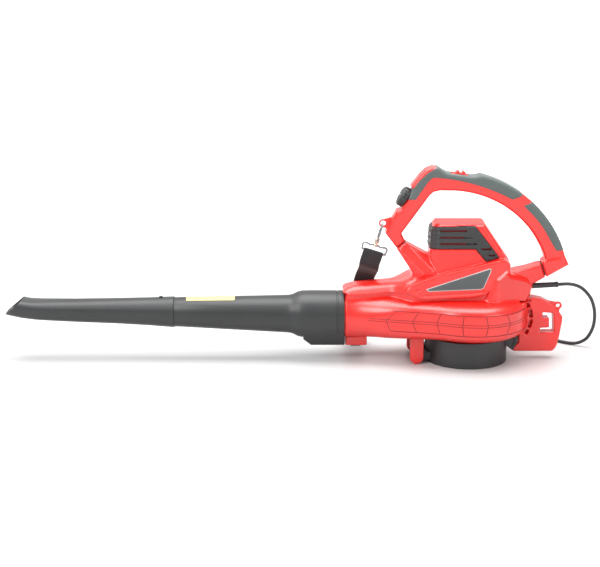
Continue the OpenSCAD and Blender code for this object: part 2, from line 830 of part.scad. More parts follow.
// The cord's middle line from the guard's mouth to the plug.
cord_route = [[170, 0, 144.6], [180, 0, 145.2], [191, 1, 145.4], [202, 3, 143.6], [213, 6, 139.4],
    [223, 10, 132.6], [232, 15, 123.4], [239.6, 21, 112], [245.6, 28, 98.8], [250, 35, 84.6],
    [252.8, 42, 70], [254, 49, 55.4], [253, 56, 41.4], [250, 62, 28.6], [245, 67, 17.8],
    [237.6, 71.4, 9.8], [228, 76, 5.2], [217, 82, 3.6], [206, 90, 3.3], [195, 99, 3.3],
    [183, 108.6, 3.3], [170, 117.6, 3.6], [156.6, 125.4, 5.4], [143.4, 131, 8.8],
    [130.6, 133.6, 11.8], plug_at];

module power_cord() {
    n = 10;
    rings = [for (i = [0:len(cord_route) - 1]) swept_ring(cord_route, i, cord_d / 2, n)];
    m = len(rings);
    color(black) polyhedron(points = [for (ring = rings) each ring], faces = concat(
        [for (i = [0:m - 2], j = [0:n - 1]) let (l = (j + 1) % n)
            each [[i * n + j, i * n + l, (i + 1) * n + l], [i * n + j, (i + 1) * n + l, (i + 1) * n + j]]],
        [[for (j = [n - 1:-1:0]) j]], [[for (j = [0:n - 1]) (m - 1) * n + j]]));
}

plug_w = 17.5;
module plug_frame() { translate(plug_at) rotate([0, 0, 180]) children(); }
module power_plug() {
    color(black) plug_frame() hull() {
        translate([0.1, 0, 0]) rotate([0, 90, 0]) cylinder(r = 6.5, h = 1, $fn = 32);
        translate([22, -plug_w, -8]) cube([20, 2 * plug_w, 16]);
        translate([22, -plug_w + 5, -13]) cube([20, 2 * plug_w - 10, 26]);
    }
}
module plug_pins() {
    color(steel) plug_frame() for (y = [-9.5, 9.5]) translate([42.05, y, 0]) rotate([0, 90, 0])
        cylinder(r = 2.4, h = 19);
}

// ---- strap ----

module hook_frame() { translate(eye) rotate([0, hang, 0]) children(); }

hook_y = 7;      // half width of the hook's loop
hook_top = -2.2;   // the hook's wire inside the eye
hook_low = -30;  // the hook's shoulder
ring_top = -45;
ring_low = -58;
wire = 1.8;

module wire_between(a, b, r) {
    v = b - a;
    translate(a) rotate([0, acos(v.z / norm(v)), atan2(v.y, v.x)]) cylinder(r = r, h = norm(v), $fn = 24);
}

module snap_hook() {
    color(steel) hook_frame() {
        // the bow over the eye's rim, with its nose and its back
        translate([0, 0, hook_top - hook_y]) rotate([0, 90, 0]) rotate([0, 0, 90])
            rotate_extrude(angle = 180, $fn = 48) translate([hook_y, 0]) circle(r = wire, $fn = 24);
        translate([0, hook_y, hook_low]) cylinder(r = wire, h = hook_top - hook_y - hook_low);
        difference() {
            translate([-3.4, -hook_y - 3.4, hook_low - 5]) cube([6.8, 2 * hook_y + 5.2, 5.5]);
            translate([0, -hook_y, hook_low - 6]) cylinder(r = 1.6, h = 8);
        }
        translate([0, 0, hook_low - 12]) cylinder(r = 3.6, h = 8);
    }
}

module hook_gate() {
    color(steel) hook_frame() {
        translate([0, -hook_y, hook_low - 4]) cylinder(r = 1.55, h = hook_top - hook_y - hook_low + 3.6);
        translate([0, -hook_y - 2.4, hook_low + 11]) sphere(r = 2);
    }
}

module strap_ring() {
    w = strap_w / 2 + 3.5;
    color(steel) hook_frame() {
        for (z = [ring_top, ring_low]) translate([-w, 0, z]) rotate([0, 90, 0])
            cylinder(r = wire, h = 2 * w);
        for (x = [-w, w]) translate([x, 0, ring_low]) cylinder(r = wire, h = ring_top - ring_low);
        for (x = [-w, w], z = [ring_top, ring_low]) translate([x, 0, z]) sphere(r = wire);
        translate([0, 0, ring_top - 2.6]) cylinder(r = 4.6, h = 5.5);
    }
}

// The sewn end of the strap, round the ring's lower bar.
module strap_end() {
    color(black) hook_frame() difference() {
        union() {
            translate([-strap_w / 2, 0, ring_low]) rotate([0, 90, 0]) cylinder(r = wire + 2, h = strap_w);
            translate([-strap_w / 2, -1.9, ring_low - 30]) cube([strap_w, 3.8, 30]);
        }
        translate([-strap_w / 2 - 1, 0, ring_low]) rotate([0, 90, 0])
            cylinder(r = wire + 0.1, h = strap_w + 2);
    }
}

// The strap's middle line below its sewn end: over the back of the ridge and down to the floor.
strap_route = [[-190.5, 5, 177], [-194, 20, 167.5], [-198, 35, 155], [-201.5, 45, 141],
    [-204, 51, 122], [-206, 57, 98], [-208, 66, 74], [-209, 81, 51], [-210, 101, 30],
    [-210, 124, 14], [-210, 146, 5]];

function band_corners(p, i) = let (t = heading(p, i), w = unit([1, 0, i == 0 ? -0.31 : 0]),
    u = unit(w - (w * t) * t), v = cross(t, u))
    [for (c = [[-1, -1], [1, -1], [1, 1], [-1, 1]]) p[i] + c.x * strap_w / 2 * u + c.y * strap_t / 2 * v];

module strap_web() {
    rings = [for (i = [0:len(strap_route) - 1]) band_corners(strap_route, i)];
    m = len(rings);
    color(black) polyhedron(points = [for (ring = rings) each ring], faces = concat(
        [for (i = [0:m - 2], j = [0:3]) let (l = (j + 1) % 4)
            each [[i * 4 + j, i * 4 + l, (i + 1) * 4 + l], [i * 4 + j, (i + 1) * 4 + l, (i + 1) * 4 + j]]],
        [[3, 2, 1], [3, 1, 0]], [[(m - 1) * 4, (m - 1) * 4 + 1, (m - 1) * 4 + 2],
            [(m - 1) * 4, (m - 1) * 4 + 2, (m - 1) * 4 + 3]]));
}

// The rest of the strap, folded to and fro in a flat pile on the floor.
stack_at = [-229, 149, 0];
stack_l = 112;
stack_h = 19;
module strap_stack() {
    color(black) translate(stack_at + [0, 4, 0]) cube([strap_w, stack_l - 8, stack_h]);
    color(black) for (y = [4, stack_l - 4]) translate(stack_at + [0, y, stack_h / 2])
        rotate([0, 90, 0]) scale([1, 1, 1]) cylinder(r = 4, h = strap_w);
}

// The hook on the strap's other end, lying on the pile.
module spare_hook() {
    color(steel) translate(stack_at + [strap_w / 2, 40, stack_h + 3]) {
        for (y = [0, 13]) translate([-22, y, 0]) rotate([0, 90, 0]) cylinder(r = wire, h = 44);
        for (x = [-22, 22]) translate([x, 0, 0]) rotate([-90, 0, 0]) cylinder(r = wire, h = 13);
        for (x = [-22, 22], y = [0, 13]) translate([x, y, 0]) sphere(r = wire);
        translate([0, 9, 1]) rotate([-90, 0, 0]) cylinder(r = 3.6, h = 20);
        for (x = [-7, 7]) translate([x, 27, 0]) rotate([-90, 0, 0]) cylinder(r = wire, h = 24);
        translate([-8, 25, -1.8]) cube([16, 5, 4]);
        translate([0, 51, 0]) rotate([0, 0, 0]) rotate_extrude(angle = 180, $fn = 48)
            translate([7, 0]) circle(r = wire, $fn = 24);
    }
}

// ---- nodes ----

casing_left();
casing_right();
body_left();
body_right();
front_feet();
handle_left();
handle_right();
front_grip();
rear_grip();
vent_grille_left();
vent_grille_right();
badge_left();
badge_right();
rear_bracket();
intake_ring();
cover_hinge_pin();
fan_plate();
motor_stator();
field_coils();
motor_bracket();
lower_bearing();
upper_bearing();
brush_holders();
carbon_brushes();
fan_shaft();
armature_core();
armature_windings();
commutator();
cooling_fan();
fan_impeller();
fan_nut();
intake_cover();
intake_grille();
cover_spring();
rear_tube();
tube_label();
front_nozzle();
nozzle_catch();
tube_lock_button();
tube_lock_spring();
switch_slider();
switch_unit();
speed_dial();
speed_control();
control_board();
housing_screws();
handle_screws();
cord_guard();
cord_clamp();
power_cord();
power_plug();
plug_pins();
snap_hook();
hook_gate();
strap_ring();
strap_end();
strap_web();
strap_stack();
spare_hook();
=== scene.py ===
import json
import math

import bpy
import bmesh
import numpy as np
import openvdb
from mathutils import Matrix, Vector


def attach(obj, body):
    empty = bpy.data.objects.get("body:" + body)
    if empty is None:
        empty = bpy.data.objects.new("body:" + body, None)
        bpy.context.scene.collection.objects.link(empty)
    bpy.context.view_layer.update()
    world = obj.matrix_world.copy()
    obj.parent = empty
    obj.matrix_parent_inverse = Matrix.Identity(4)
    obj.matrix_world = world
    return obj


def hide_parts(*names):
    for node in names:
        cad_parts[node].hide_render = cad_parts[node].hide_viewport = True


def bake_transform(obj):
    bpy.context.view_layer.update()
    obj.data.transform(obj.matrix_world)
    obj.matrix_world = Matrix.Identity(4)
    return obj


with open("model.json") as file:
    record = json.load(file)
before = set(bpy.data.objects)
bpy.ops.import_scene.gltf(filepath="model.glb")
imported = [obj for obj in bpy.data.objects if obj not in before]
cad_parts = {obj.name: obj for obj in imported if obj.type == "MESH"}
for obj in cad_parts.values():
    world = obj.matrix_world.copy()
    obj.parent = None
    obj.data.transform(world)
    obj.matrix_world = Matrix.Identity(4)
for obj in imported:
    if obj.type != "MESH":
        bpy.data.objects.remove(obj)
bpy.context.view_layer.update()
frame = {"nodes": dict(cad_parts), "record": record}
NODES = frame["nodes"]
MM = 0.001

# ---------------------------------------------------------------- camera

camera = bpy.data.objects.new("camera", bpy.data.cameras.new("camera"))
bpy.context.collection.objects.link(camera)
camera.data.sensor_width = 36
camera.data.lens = 81.5
camera.data.clip_end = 30
camera.location = (-0.318, -2.5, 0.7883)
camera.rotation_euler = (math.radians(75.6), 0, 0)
bpy.context.scene.camera = camera


# ---------------------------------------------------------------- shader helper

class Shader:
    """A node material on Principled BSDF, in object coordinates (metres)."""

    def __init__(self, name, color, rough, metal=0.0):
        self.mat = bpy.data.materials.new(name)
        self.mat.use_nodes = True
        self.tree = self.mat.node_tree
        self.bsdf = self.tree.nodes["Principled BSDF"]
        self.bsdf.inputs["Metallic"].default_value = metal
        self.bsdf.inputs["Roughness"].default_value = rough
        self.bsdf.inputs["Base Color"].default_value = (*color, 1)
        self.mat.diffuse_color = (*color, 1)
        self.at = self.add("ShaderNodeTexCoord").outputs["Object"]

    def add(self, kind, inputs=(), **props):
        node = self.tree.nodes.new(kind)
        for key, value in props.items():
            setattr(node, key, value)
        for key, value in dict(inputs).items():
            self.put(node.inputs[key], value)
        return node

    def put(self, socket, value):
        if isinstance(value, bpy.types.NodeSocket):
            self.tree.links.new(value, socket)
        else:
            socket.default_value = value

    def math(self, op, a, b=0.0):
        return self.add("ShaderNodeMath", {0: a, 1: b}, operation=op).outputs[0]

    def step(self, value, low, high):
        """0 below low, 1 above high, smooth between."""
        node = self.add("ShaderNodeMapRange", {"Value": value, "From Min": low, "From Max": high})
        node.interpolation_type = "SMOOTHSTEP"
        return node.outputs[0]

    def noise(self, scale, detail=3.0, rough=0.55, stretch=None):
        at = self.at
        if stretch:
            at = self.add("ShaderNodeMapping", {"Vector": at, "Scale": stretch}).outputs[0]
        return self.add("ShaderNodeTexNoise", {"Vector": at, "Scale": scale, "Detail": detail,
                                               "Roughness": rough}).outputs["Fac"]

    def mix(self, factor, a, b):
        node = self.add("ShaderNodeMix", data_type="RGBA")
        for i, value in ((0, factor), (6, a), (7, b)):
            self.put(node.inputs[i], (*value, 1) if isinstance(value, tuple) else value)
        return node.outputs[2]

    def bump(self, height, strength, distance, after=None):
        node = self.add("ShaderNodeBump", {"Height": height, "Strength": strength,
                                           "Distance": distance})
        if after is not None:
            self.put(node.inputs["Normal"], after)
        return node.outputs[0]

    def finish(self, color=None, rough=None, normal=None, **inputs):
        for name, value in (("Base Color", color), ("Roughness", rough), ("Normal", normal)):
            if value is not None:
                self.put(self.bsdf.inputs[name], value)
        for name, value in inputs.items():
            self.put(self.bsdf.inputs[name.replace("_", " ")], value)
        return self.mat


def shade(color, k):
    return tuple(min(c * k, 1.0) for c in color)


def plastic(name, color, rough, grain=1400, relief=0.1):
    """Moulded plastic: fine sparkled grain, uneven gloss, faint colour drift and dust."""
    s = Shader(name, color, rough)
    drift = s.noise(9, 4)
    tint = s.mix(s.step(drift, 0.3, 0.7), shade(color, 0.9), shade(color, 1.07))
    speck = s.step(s.noise(420, 2, 0.7), 0.7, 0.78)
    tint = s.mix(s.math("MULTIPLY", speck, 0.12), tint, (0.5, 0.47, 0.45))
    gloss = s.math("ADD", rough - 0.06, s.math("MULTIPLY", s.noise(38, 5, 0.65), 0.12))
    scuff = s.step(s.noise(60, 6, 0.7, stretch=(0.25, 1, 1.6)), 0.62, 0.7)
    gloss = s.math("ADD", gloss, s.math("MULTIPLY", scuff, 0.08))
    normal = s.bump(s.noise(grain, 2, 0.6), relief, 0.00025)
    normal = s.bump(s.noise(26, 2), 0.05, 0.002, normal)
    return s.finish(tint, gloss, normal)


def metal(name, color, rough, scratch=(1, 1, 12)):
    """Metal with fine drawn scratches and a little tarnish."""
    s = Shader(name, color, rough, 1.0)
    lines = s.noise(260, 6, 0.7, stretch=scratch)
    tarnish = s.step(s.noise(70, 5, 0.7), 0.5, 0.72)
    tint = s.mix(tarnish, color, shade(color, 0.72))
    gloss = s.math("ADD", rough - 0.05, s.math("MULTIPLY", lines, 0.2))
    return s.finish(tint, gloss, s.bump(lines, 0.12, 0.0003))


def casing_red(name, color):
    """The body's red plastic, with the fine engraved bands along the fan casing's side: their
    grooves are a bump, coloured dark as painted shade.
    """
    s = Shader(name, color, 0.3)
    at = s.add("ShaderNodeSeparateXYZ", {"Vector": s.at}).outputs
    x = s.math("MULTIPLY", at[0], 1000)
    z = s.math("MULTIPLY", at[2], 1000)
    w = s.math("MULTIPLY", s.math("ABSOLUTE", at[1]), 1000)
    # distance along the side: straight beside the duct, then round the casing's rear
    behind = s.math("SUBTRACT", x, CASING_X)
    turn = s.math("MULTIPLY", s.math("ARCTAN2", behind, w), CASING_R)
    rear = s.math("GREATER_THAN", behind, 0)
    along = s.math("ADD", s.math("MULTIPLY", rear, turn),
                   s.math("MULTIPLY", s.math("SUBTRACT", 1, rear), behind))
    along = s.math("ADD", along, CASING_X)
    up = s.math("SUBTRACT", z, BAND_MID)
    away = s.math("ABSOLUTE", up)
    part = s.math("DIVIDE", up, BAND_HALF)
    square = s.math("MULTIPLY", part, part)
    # each test is a distance from a line, the line's half width, and where it is drawn
    outer = s.step(along, BAND_OUTER - 1, BAND_OUTER)
    tests = [(s.math("ABSOLUTE", s.math("SUBTRACT", away, d)), t, on)
             for d, t, on in ((BAND_HALF, 0.85, outer), (2.2, 0.6, None))]
    for apex, top, bottom in CHEVRONS:
        # straight legs above and below, or a bow where the legs are level
        spread = s.math("MULTIPLY", away, (top + bottom - 2 * apex) / (2 * BAND_HALF))
        slant = s.math("MULTIPLY", part, (top - bottom) / 2)
        bow = s.math("MULTIPLY", square, (top + bottom - 2 * apex) / 2)
        shape = s.math("ADD", s.math("ADD", slant, s.math("MULTIPLY", spread, 0.75)),
                       s.math("MULTIPLY", bow, 0.25))
        gap = s.math("SUBTRACT", along, s.math("ADD", shape, apex))
        tests.append((s.math("ABSOLUTE", gap), 0.85, None))
    lines = None
    for distance, half, on in tests:
        line = s.math("SUBTRACT", 1, s.step(distance, half * 0.5, half * 1.3))
        if on is not None:
            line = s.math("MULTIPLY", line, on)
        lines = line if lines is None else s.math("MAXIMUM", lines, line)
    inside = s.math("SUBTRACT", 1, s.step(away, BAND_HALF + 0.5, BAND_HALF + 1.2))
    ends = s.math("MULTIPLY", s.step(along, BAND_START, BAND_START + 3),
                  s.math("LESS_THAN", along, BAND_END))
    flank = s.math("MULTIPLY", s.step(w, 30, 34), s.math("LESS_THAN", x, 120))
    lines = s.math("MULTIPLY", s.math("MULTIPLY", lines, inside), s.math("MULTIPLY", ends, flank))
    drift = s.noise(9, 4)
    tint = s.mix(s.step(drift, 0.3, 0.7), shade(color, 0.93), shade(color, 1.05))
    # the band's lines are painted dark: painted shade in the engraved grooves
    tint = s.mix(s.math("MULTIPLY", lines, 0.95), tint, (0.16, 0.002, 0.004))
    gloss = s.math("ADD", 0.26, s.math("MULTIPLY", s.noise(38, 5, 0.65), 0.14))
    gloss = s.math("ADD", gloss, s.math("MULTIPLY", lines, 0.4))
    normal = s.bump(s.noise(1500, 2, 0.6), 0.06, 0.0002)
    normal = s.bump(s.noise(22, 2), 0.05, 0.002, normal)
    normal = s.bump(s.math("SUBTRACT", 1, lines), 0.5, 0.0006, normal)
    coat = s.math("MULTIPLY", s.math("SUBTRACT", 1, lines), 0.45)
    return s.finish(tint, gloss, normal, Coat_Weight=coat, Coat_Roughness=0.22,
                    Specular_IOR_Level=0.6)


def rubber_grip(name, color):
    """Soft moulded grip with a fine pebbled skin."""
    s = Shader(name, color, 0.55)
    cells = s.add("ShaderNodeTexVoronoi", {"Vector": s.at, "Scale": 620.0}).outputs["Distance"]
    tint = s.mix(s.noise(14, 4), shade(color, 0.85), shade(color, 1.18))
    # darker between the pebbles: painted shade in the hollows
    tint = s.mix(s.math("MULTIPLY", s.step(cells, 0.5, 0.85), 0.3), tint, shade(color, 0.55))
    gloss = s.math("ADD", 0.46, s.math("MULTIPLY", s.noise(40, 4), 0.2))
    normal = s.bump(s.math("SUBTRACT", 1, cells), 0.25, 0.0003)
    return s.finish(tint, gloss, normal, Sheen_Weight=0.15)


def webbing(name, color):
    """Woven nylon strap: ribs across and along it, from the mesh's own flat coordinates."""
    pitch_along, pitch_across = 0.0021, 0.0017
    s = Shader(name, color, 0.75)
    flat = s.add("ShaderNodeUVMap", uv_map="flat").outputs[0]
    u, v, _ = s.add("ShaderNodeSeparateXYZ", {"Vector": flat}).outputs
    over = s.math("SINE", s.math("MULTIPLY", v, 2 * math.pi / pitch_along))
    side = s.math("SINE", s.math("MULTIPLY", u, 2 * math.pi / pitch_across))
    twill = s.math("MULTIPLY", over, side)
    rib = s.math("ABSOLUTE", s.math("SINE", s.math("MULTIPLY", v, math.pi / pitch_along)))
    height = s.math("ADD", s.math("MULTIPLY", rib, 0.7), s.math("MULTIPLY", twill, 0.3))
    edge = s.step(s.math("ABSOLUTE", u), 0.0162, 0.0168)
    height = s.math("ADD", height, s.math("MULTIPLY", edge, 0.5))
    fuzz = s.noise(900, 3, 0.7)
    # the weave's high threads are painted lighter and its low ones darker: painted highlight and
    # painted shade
    tint = s.mix(s.step(height, -0.2, 1.1), shade(color, 0.5), shade(color, 1.5))
    tint = s.mix(s.math("MULTIPLY", s.step(fuzz, 0.62, 0.75), 0.25), tint, (0.12, 0.12, 0.12))
    normal = s.bump(s.math("ADD", height, s.math("MULTIPLY", fuzz, 0.25)), 0.6, 0.0005)
    return s.finish(tint, None, normal, Sheen_Weight=0.3, Sheen_Roughness=0.4)


# the fan casing is round behind this x, with this radius, in millimetres
CASING_X, CASING_R = 10, 105
# the engraved band: its middle height, its half height, and where its lines start and end
BAND_MID, BAND_HALF = 90.6, 19.2
BAND_START, BAND_OUTER, BAND_END = -192, -146, 132
# its separators: distance along at the middle line, the top line and the bottom line
CHEVRONS = [(-156.8, -137.4, -148.1), (-108.3, -98.1, -100.6), (-64.2, -57.9, -57.9),
            (-18.6, -16.7, -16.2), (28.2, 23.8, 24.3), (75.6, 66.3, 66.8), (131, 122.5, 122)]
RED = (0.76, 0.013, 0.008)
BLACK = (0.028, 0.029, 0.030)
MATS = {
    "red_shell": casing_red("red_shell", RED),
    "black_plastic": plastic("black_plastic", BLACK, 0.42, grain=1100, relief=0.16),
    "grip_rubber": rubber_grip("grip_rubber", (0.085, 0.105, 0.10)),
    "cord_rubber": plastic("cord_rubber", (0.03, 0.031, 0.034), 0.5, grain=900, relief=0.1),
    "badge_plastic": plastic("badge_plastic", (0.075, 0.092, 0.095), 0.35, grain=1800, relief=0.08),
    "bright_steel": metal("bright_steel", (0.60, 0.61, 0.63), 0.3),
    "plated_wire": metal("plated_wire", (0.27, 0.27, 0.29), 0.28),
    "swivel_brass": metal("swivel_brass", (0.66, 0.50, 0.40), 0.35),
    "core_steel": metal("core_steel", (0.36, 0.37, 0.39), 0.45, (1, 1, 40)),
    "copper_parts": metal("copper_parts", (0.72, 0.36, 0.19), 0.35, (1, 1, 60)),
    "carbon": plastic("carbon", (0.03, 0.03, 0.033), 0.6, grain=2400, relief=0.2),
    "circuit_board": plastic("circuit_board", (0.03, 0.17, 0.07), 0.4, grain=700, relief=0.1),
    "label_film": plastic("label_film", (0.72, 0.60, 0.24), 0.5, grain=600, relief=0.03),
    "webbing": webbing("webbing", (0.016, 0.016, 0.018)),
    "badge_rim": plastic("badge_rim", (0.55, 0.56, 0.55), 0.3, grain=1800, relief=0.05),
    # a dark red that stands for shade inside the handle's joints: painted shade
    "red_painted_shade": plastic("red_painted_shade", (0.10, 0.004, 0.004), 0.6),
    # a darker copy of the body red behind the grille: painted shade
    "red_liner_shade": plastic("red_liner_shade", (0.26, 0.005, 0.012), 0.55),
}
for part in frame["record"]["subparts"]:
    data = NODES[part["node"]].data
    data.materials.clear()
    data.materials.append(MATS[part["material_slot"]])


# ---------------------------------------------------------------- mesh helpers

def add_mesh(name, points, faces, body, slot, material=None, smooth=True):
    """A new piece from points in millimetres, riding on a CAD body."""
    mesh = bpy.data.meshes.new(name)
    mesh.from_pydata((np.asarray(points, float) * MM).tolist(), [], faces)
    mesh.validate()
    mesh.shade_smooth() if smooth else mesh.shade_flat()
    mesh.materials.append(material or MATS[slot])
    piece = bpy.data.objects.new(name, mesh)
    bpy.context.collection.objects.link(piece)
    if body:
        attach(piece, body)
    return piece


def outward(mesh, weld=False):
    """Turn every face outwards, after joining the points that lie on each other."""
    work = bmesh.new()
    work.from_mesh(mesh)
    if weld:
        bmesh.ops.remove_doubles(work, verts=work.verts, dist=1e-6)
    bmesh.ops.recalc_face_normals(work, faces=work.faces)
    work.to_mesh(mesh)
    work.free()


def bevel(piece, width):
    modifier = piece.modifiers.new("bevel", "BEVEL")
    modifier.width = width * MM
    modifier.segments = 2
    modifier.limit_method = "ANGLE"
    modifier.angle_limit = math.radians(35)
    modifier.harden_normals = True


def loft(rings, caps=True):
    """Quads between closed rings of points, with both ends capped or left open."""
    n = len(rings[0])
    points = [p for ring in rings for p in ring]
    faces = []
    for i in range(len(rings) - 1):
        for j in range(n):
            k = (j + 1) % n
            faces.append((i * n + j, i * n + k, (i + 1) * n + k, (i + 1) * n + j))
    if caps:
        faces.append(tuple(range(n - 1, -1, -1)))
        faces.append(tuple((len(rings) - 1) * n + j for j in range(n)))
    return points, faces


def smooth_path(points, per=8):
    """Points on a Catmull-Rom curve through the given ones."""
    p = np.array([2 * np.array(points[0]) - points[1], *points,
                  2 * np.array(points[-1]) - points[-2]], float)
    out = []
    for i in range(1, len(p) - 2):
        for t in np.arange(per) / per:
            a, b, c, d = p[i - 1:i + 3]
            out.append(0.5 * (2 * b + (c - a) * t + (2 * a - 5 * b + 4 * c - d) * t ** 2
                              + (3 * b - a - 3 * c + d) * t ** 3))
    out.append(p[-2])
    return np.array(out)


def path_length(points):
    return float(np.linalg.norm(np.diff(np.asarray(points), axis=0), axis=1).sum())


def wire(name, points, radius, body, slot, cyclic=False, res=5):
    """A round wire or cord as a curve along points in millimetres."""
    curve = bpy.data.curves.new(name, "CURVE")
    curve.dimensions = "3D"
    curve.bevel_depth = radius * MM
    curve.bevel_resolution = res
    curve.use_fill_caps = True
    spline = curve.splines.new("POLY")
    spline.points.add(len(points) - 1)
    for point, at in zip(spline.points, points):
        point.co = (*(np.array(at) * MM), 1)
    spline.use_cyclic_u = cyclic
    spline.use_smooth = True
    curve.materials.append(MATS[slot])
    piece = bpy.data.objects.new(name, curve)
    bpy.context.collection.objects.link(piece)
    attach(piece, body)
    return piece


# ---------------------------------------------------------------- supply cord

CORD_D = 6.5
CORD_ROUTE = [(170, 0, 144.6), (180, 0, 145.2), (191, 1, 145.4), (202, 3, 143.6), (213, 6, 139.4),
              (223, 10, 132.6), (232, 15, 123.4), (240.6, 21, 112), (247.2, 28, 98.8),
              (252, 35, 84.6), (254.8, 42, 70), (256, 49, 55.4), (255, 56, 41.4), (251.6, 62, 28.2),
              (246, 67, 17), (237.6, 71.4, 9.8), (228, 76, 5.2), (217, 82, 3.6), (206, 90, 3.3),
              (195, 99, 3.3), (183, 108.6, 3.3), (170, 117.6, 3.6), (156.6, 125.4, 5.4),
              (143.4, 131, 8.8), (130.6, 133.6, 11.8), (118, 134, 13)]
cord_line = smooth_path(CORD_ROUTE, 6)
cord = wire("supply_cord", cord_line, CORD_D / 2, "blower", "cord_rubber", res=6)
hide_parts("power_cord")


# ---------------------------------------------------------------- solid fields

def poly(a, b, pts):
    """Signed distance from (a, b) to a polygon, negative inside."""
    best = np.full(np.broadcast(a, b).shape, 1e9, np.float32)
    sign = np.ones(best.shape, np.float32)
    for (ax, az), (bx, bz) in zip(pts, [pts[-1], *pts[:-1]]):
        ex, ez = bx - ax, bz - az
        wx, wz = a - ax, b - az
        t = np.clip((wx * ex + wz * ez) / (ex * ex + ez * ez), 0, 1)
        best = np.minimum(best, (wx - ex * t) ** 2 + (wz - ez * t) ** 2)
        above, below, left = b >= az, b < bz, ex * wz > ez * wx
        sign = np.where((above & below & left) | ~(above | below | left), -sign, sign)
    return (sign * np.sqrt(best)).astype(np.float32)


def both(a, b, k):
    """Smooth union."""
    h = np.clip(0.5 + 0.5 * (b - a) / k, 0, 1)
    return b + (a - b) * h - k * h * (1 - h)


def chamfered(a, b, c):
    """Intersection with its edge cut back."""
    return np.maximum(np.maximum(a, b), (a + b + c) * 0.70711)


def rounded(a, b, r):
    """Intersection with its edge rounded."""
    return (np.minimum(-r, np.maximum(a, b))
            + np.sqrt(np.maximum(a + r, 0) ** 2 + np.maximum(b + r, 0) ** 2))


def cut(a, b):
    return np.maximum(a, -b)


def arc(centre, r, a0, a1, n):
    return [(centre[0] + r * math.cos(math.radians(a0 + (a1 - a0) * i / n)),
             centre[1] + r * math.sin(math.radians(a0 + (a1 - a0) * i / n))) for i in range(n + 1)]


# half the gap between two halves of a shell, and how freely flat faces are merged
SEAM, MERGE = 0.12, 0.06


class Field:
    """A box of samples: x forward-back, w outward from the middle plane, z up, in millimetres."""

    def __init__(self, low, high, step):
        self.low, self.step = np.array(low, float), step
        axes = [np.arange(a, b + step, step, dtype=np.float32) for a, b in zip(low, high)]
        self.x = axes[0][:, None, None]
        self.w = axes[1][None, :, None]
        self.z = axes[2][None, None, :]

    def disc(self, cx, cz, r):
        return np.hypot(self.x - cx, self.z - cz) - r

    def piece(self, d, name, side, body, slot, **extra):
        """The field's surface as a piece: side -1 is the left half, 1 the right, 0 as it is."""
        if side:
            d = np.maximum(d, SEAM - self.w)
        h = self.step
        shape = np.broadcast(d, self.x, self.w, self.z).shape
        d = np.clip(np.broadcast_to(d, shape), -3 * h, 3 * h).astype(np.float32)
        d = np.pad(d, 1, constant_values=3 * h)
        grid = openvdb.FloatGrid(3 * h)
        grid.copyFromArray(np.ascontiguousarray(d), tolerance=0.0)
        points, tris, quads = grid.convertToPolygons(0.0, MERGE)
        points = (points - 1) * h + self.low
        if side:
            points[:, 1] *= side
        faces = [tuple(f) for f in quads.tolist()] + [tuple(f) for f in tris.tolist()]
        # faces point outwards
        q = points[quads[:, [0, 1, 2]]] if len(quads) else points[tris]
        volume = np.einsum("ij,ij->i", q[:, 0] - points.mean(0),
                           np.cross(q[:, 1] - q[:, 0], q[:, 2] - q[:, 0])).sum()
        if volume < 0:
            faces = [f[::-1] for f in faces]
        return add_mesh(name, points, faces, body, slot, **extra)


def sampling(final):
    return final


def inset(pts, r):
    """A polygon with every edge moved inwards by r."""
    p = np.array(pts, float)
    q = np.roll(p, -1, axis=0)
    turn = math.copysign(1, float((p[:, 0] * q[:, 1] - q[:, 0] * p[:, 1]).sum()))
    e = (q - p) / np.linalg.norm(q - p, axis=1)[:, None]
    n = np.stack([-e[:, 1], e[:, 0]], 1) * turn
    m = np.roll(n, 1, axis=0)
    return (p + (n + m) * r / (1 + (n * m).sum(1))[:, None]).tolist()


def soft_poly(a, b, pts, r):
    """A polygon with its outward corners rounded to r."""
    return poly(a, b, inset(pts, r)) - r


def rim(a, b, ra, rb):
    """Intersection of a and b with an elliptical edge, ra along a and rb along b."""
    p, q = np.maximum(a + ra, 0) / ra, np.maximum(b + rb, 0) / rb
    k = np.hypot(p, q)
    slope = np.hypot(p / ra, q / rb) / np.maximum(k, 1e-4)
    return np.where(k > 0.02, (k - 1) / np.maximum(slope, 1e-3), -np.minimum(ra, rb))


def track(x, points):
    """A smooth value along x through the given points."""
    line = smooth_path([(p[0], p[1], 0) for p in points], 10)
    return np.interp(x, line[:, 0], line[:, 1]).astype(np.float32)


# ---------------------------------------------------------------- red housing

FLANK = [(-277, 44), (-232, 44), (-212, 46.5), (-185, 54), (-150, 64.5), (-97, 76), (-57, 87),
         (-25, 99.5), (CASING_X, CASING_R), (40, CASING_R)]
FLOOR_Z = [(-277, 43), (-232, 43), (-190, 45.5), (-112, 50.5), (-70, 52), (10, 52), (40, 52)]
ROOF_Z = [(-277, 131), (-232, 131), (-180, 129), (-110, 126.5), (-70, 126), (10, 126), (40, 126)]
# the motor housing: its side and its plan, the vent's opening, the ridge over the duct
TOWER = [(-78, 116), (-78, 257), (-63, 271.5), (25, 271.5), (77, 196), (79, 178), (79, 116)]
TOWER_PLAN = [(-61, 43), (-78, 27), (-78, -60), (79, -60), (79, 25), (60, 43)]
VENT = [(-95, 222.5), (-95, 263.5), (7, 266.5), (53, 207), (29, 198.5), (9, 222.5)]
SPINE = [(-231.5, 128), (-231.5, 132.5), (-237, 134.5), (-237, 137.5), (-230, 143), (-217, 147),
         (-174, 151.3), (-140, 154.5), (-127, 158), (-100, 171), (-80, 128)]
SPINE_LEDGE = [(-260, 131), (-226, 131.5), (-168, 136.5), (-126, 140.5), (-80, 146)]
SPINE_CORE = [(-231.5, 110), (-231.5, 136), (-168, 142), (-100, 150), (-80, 120)]
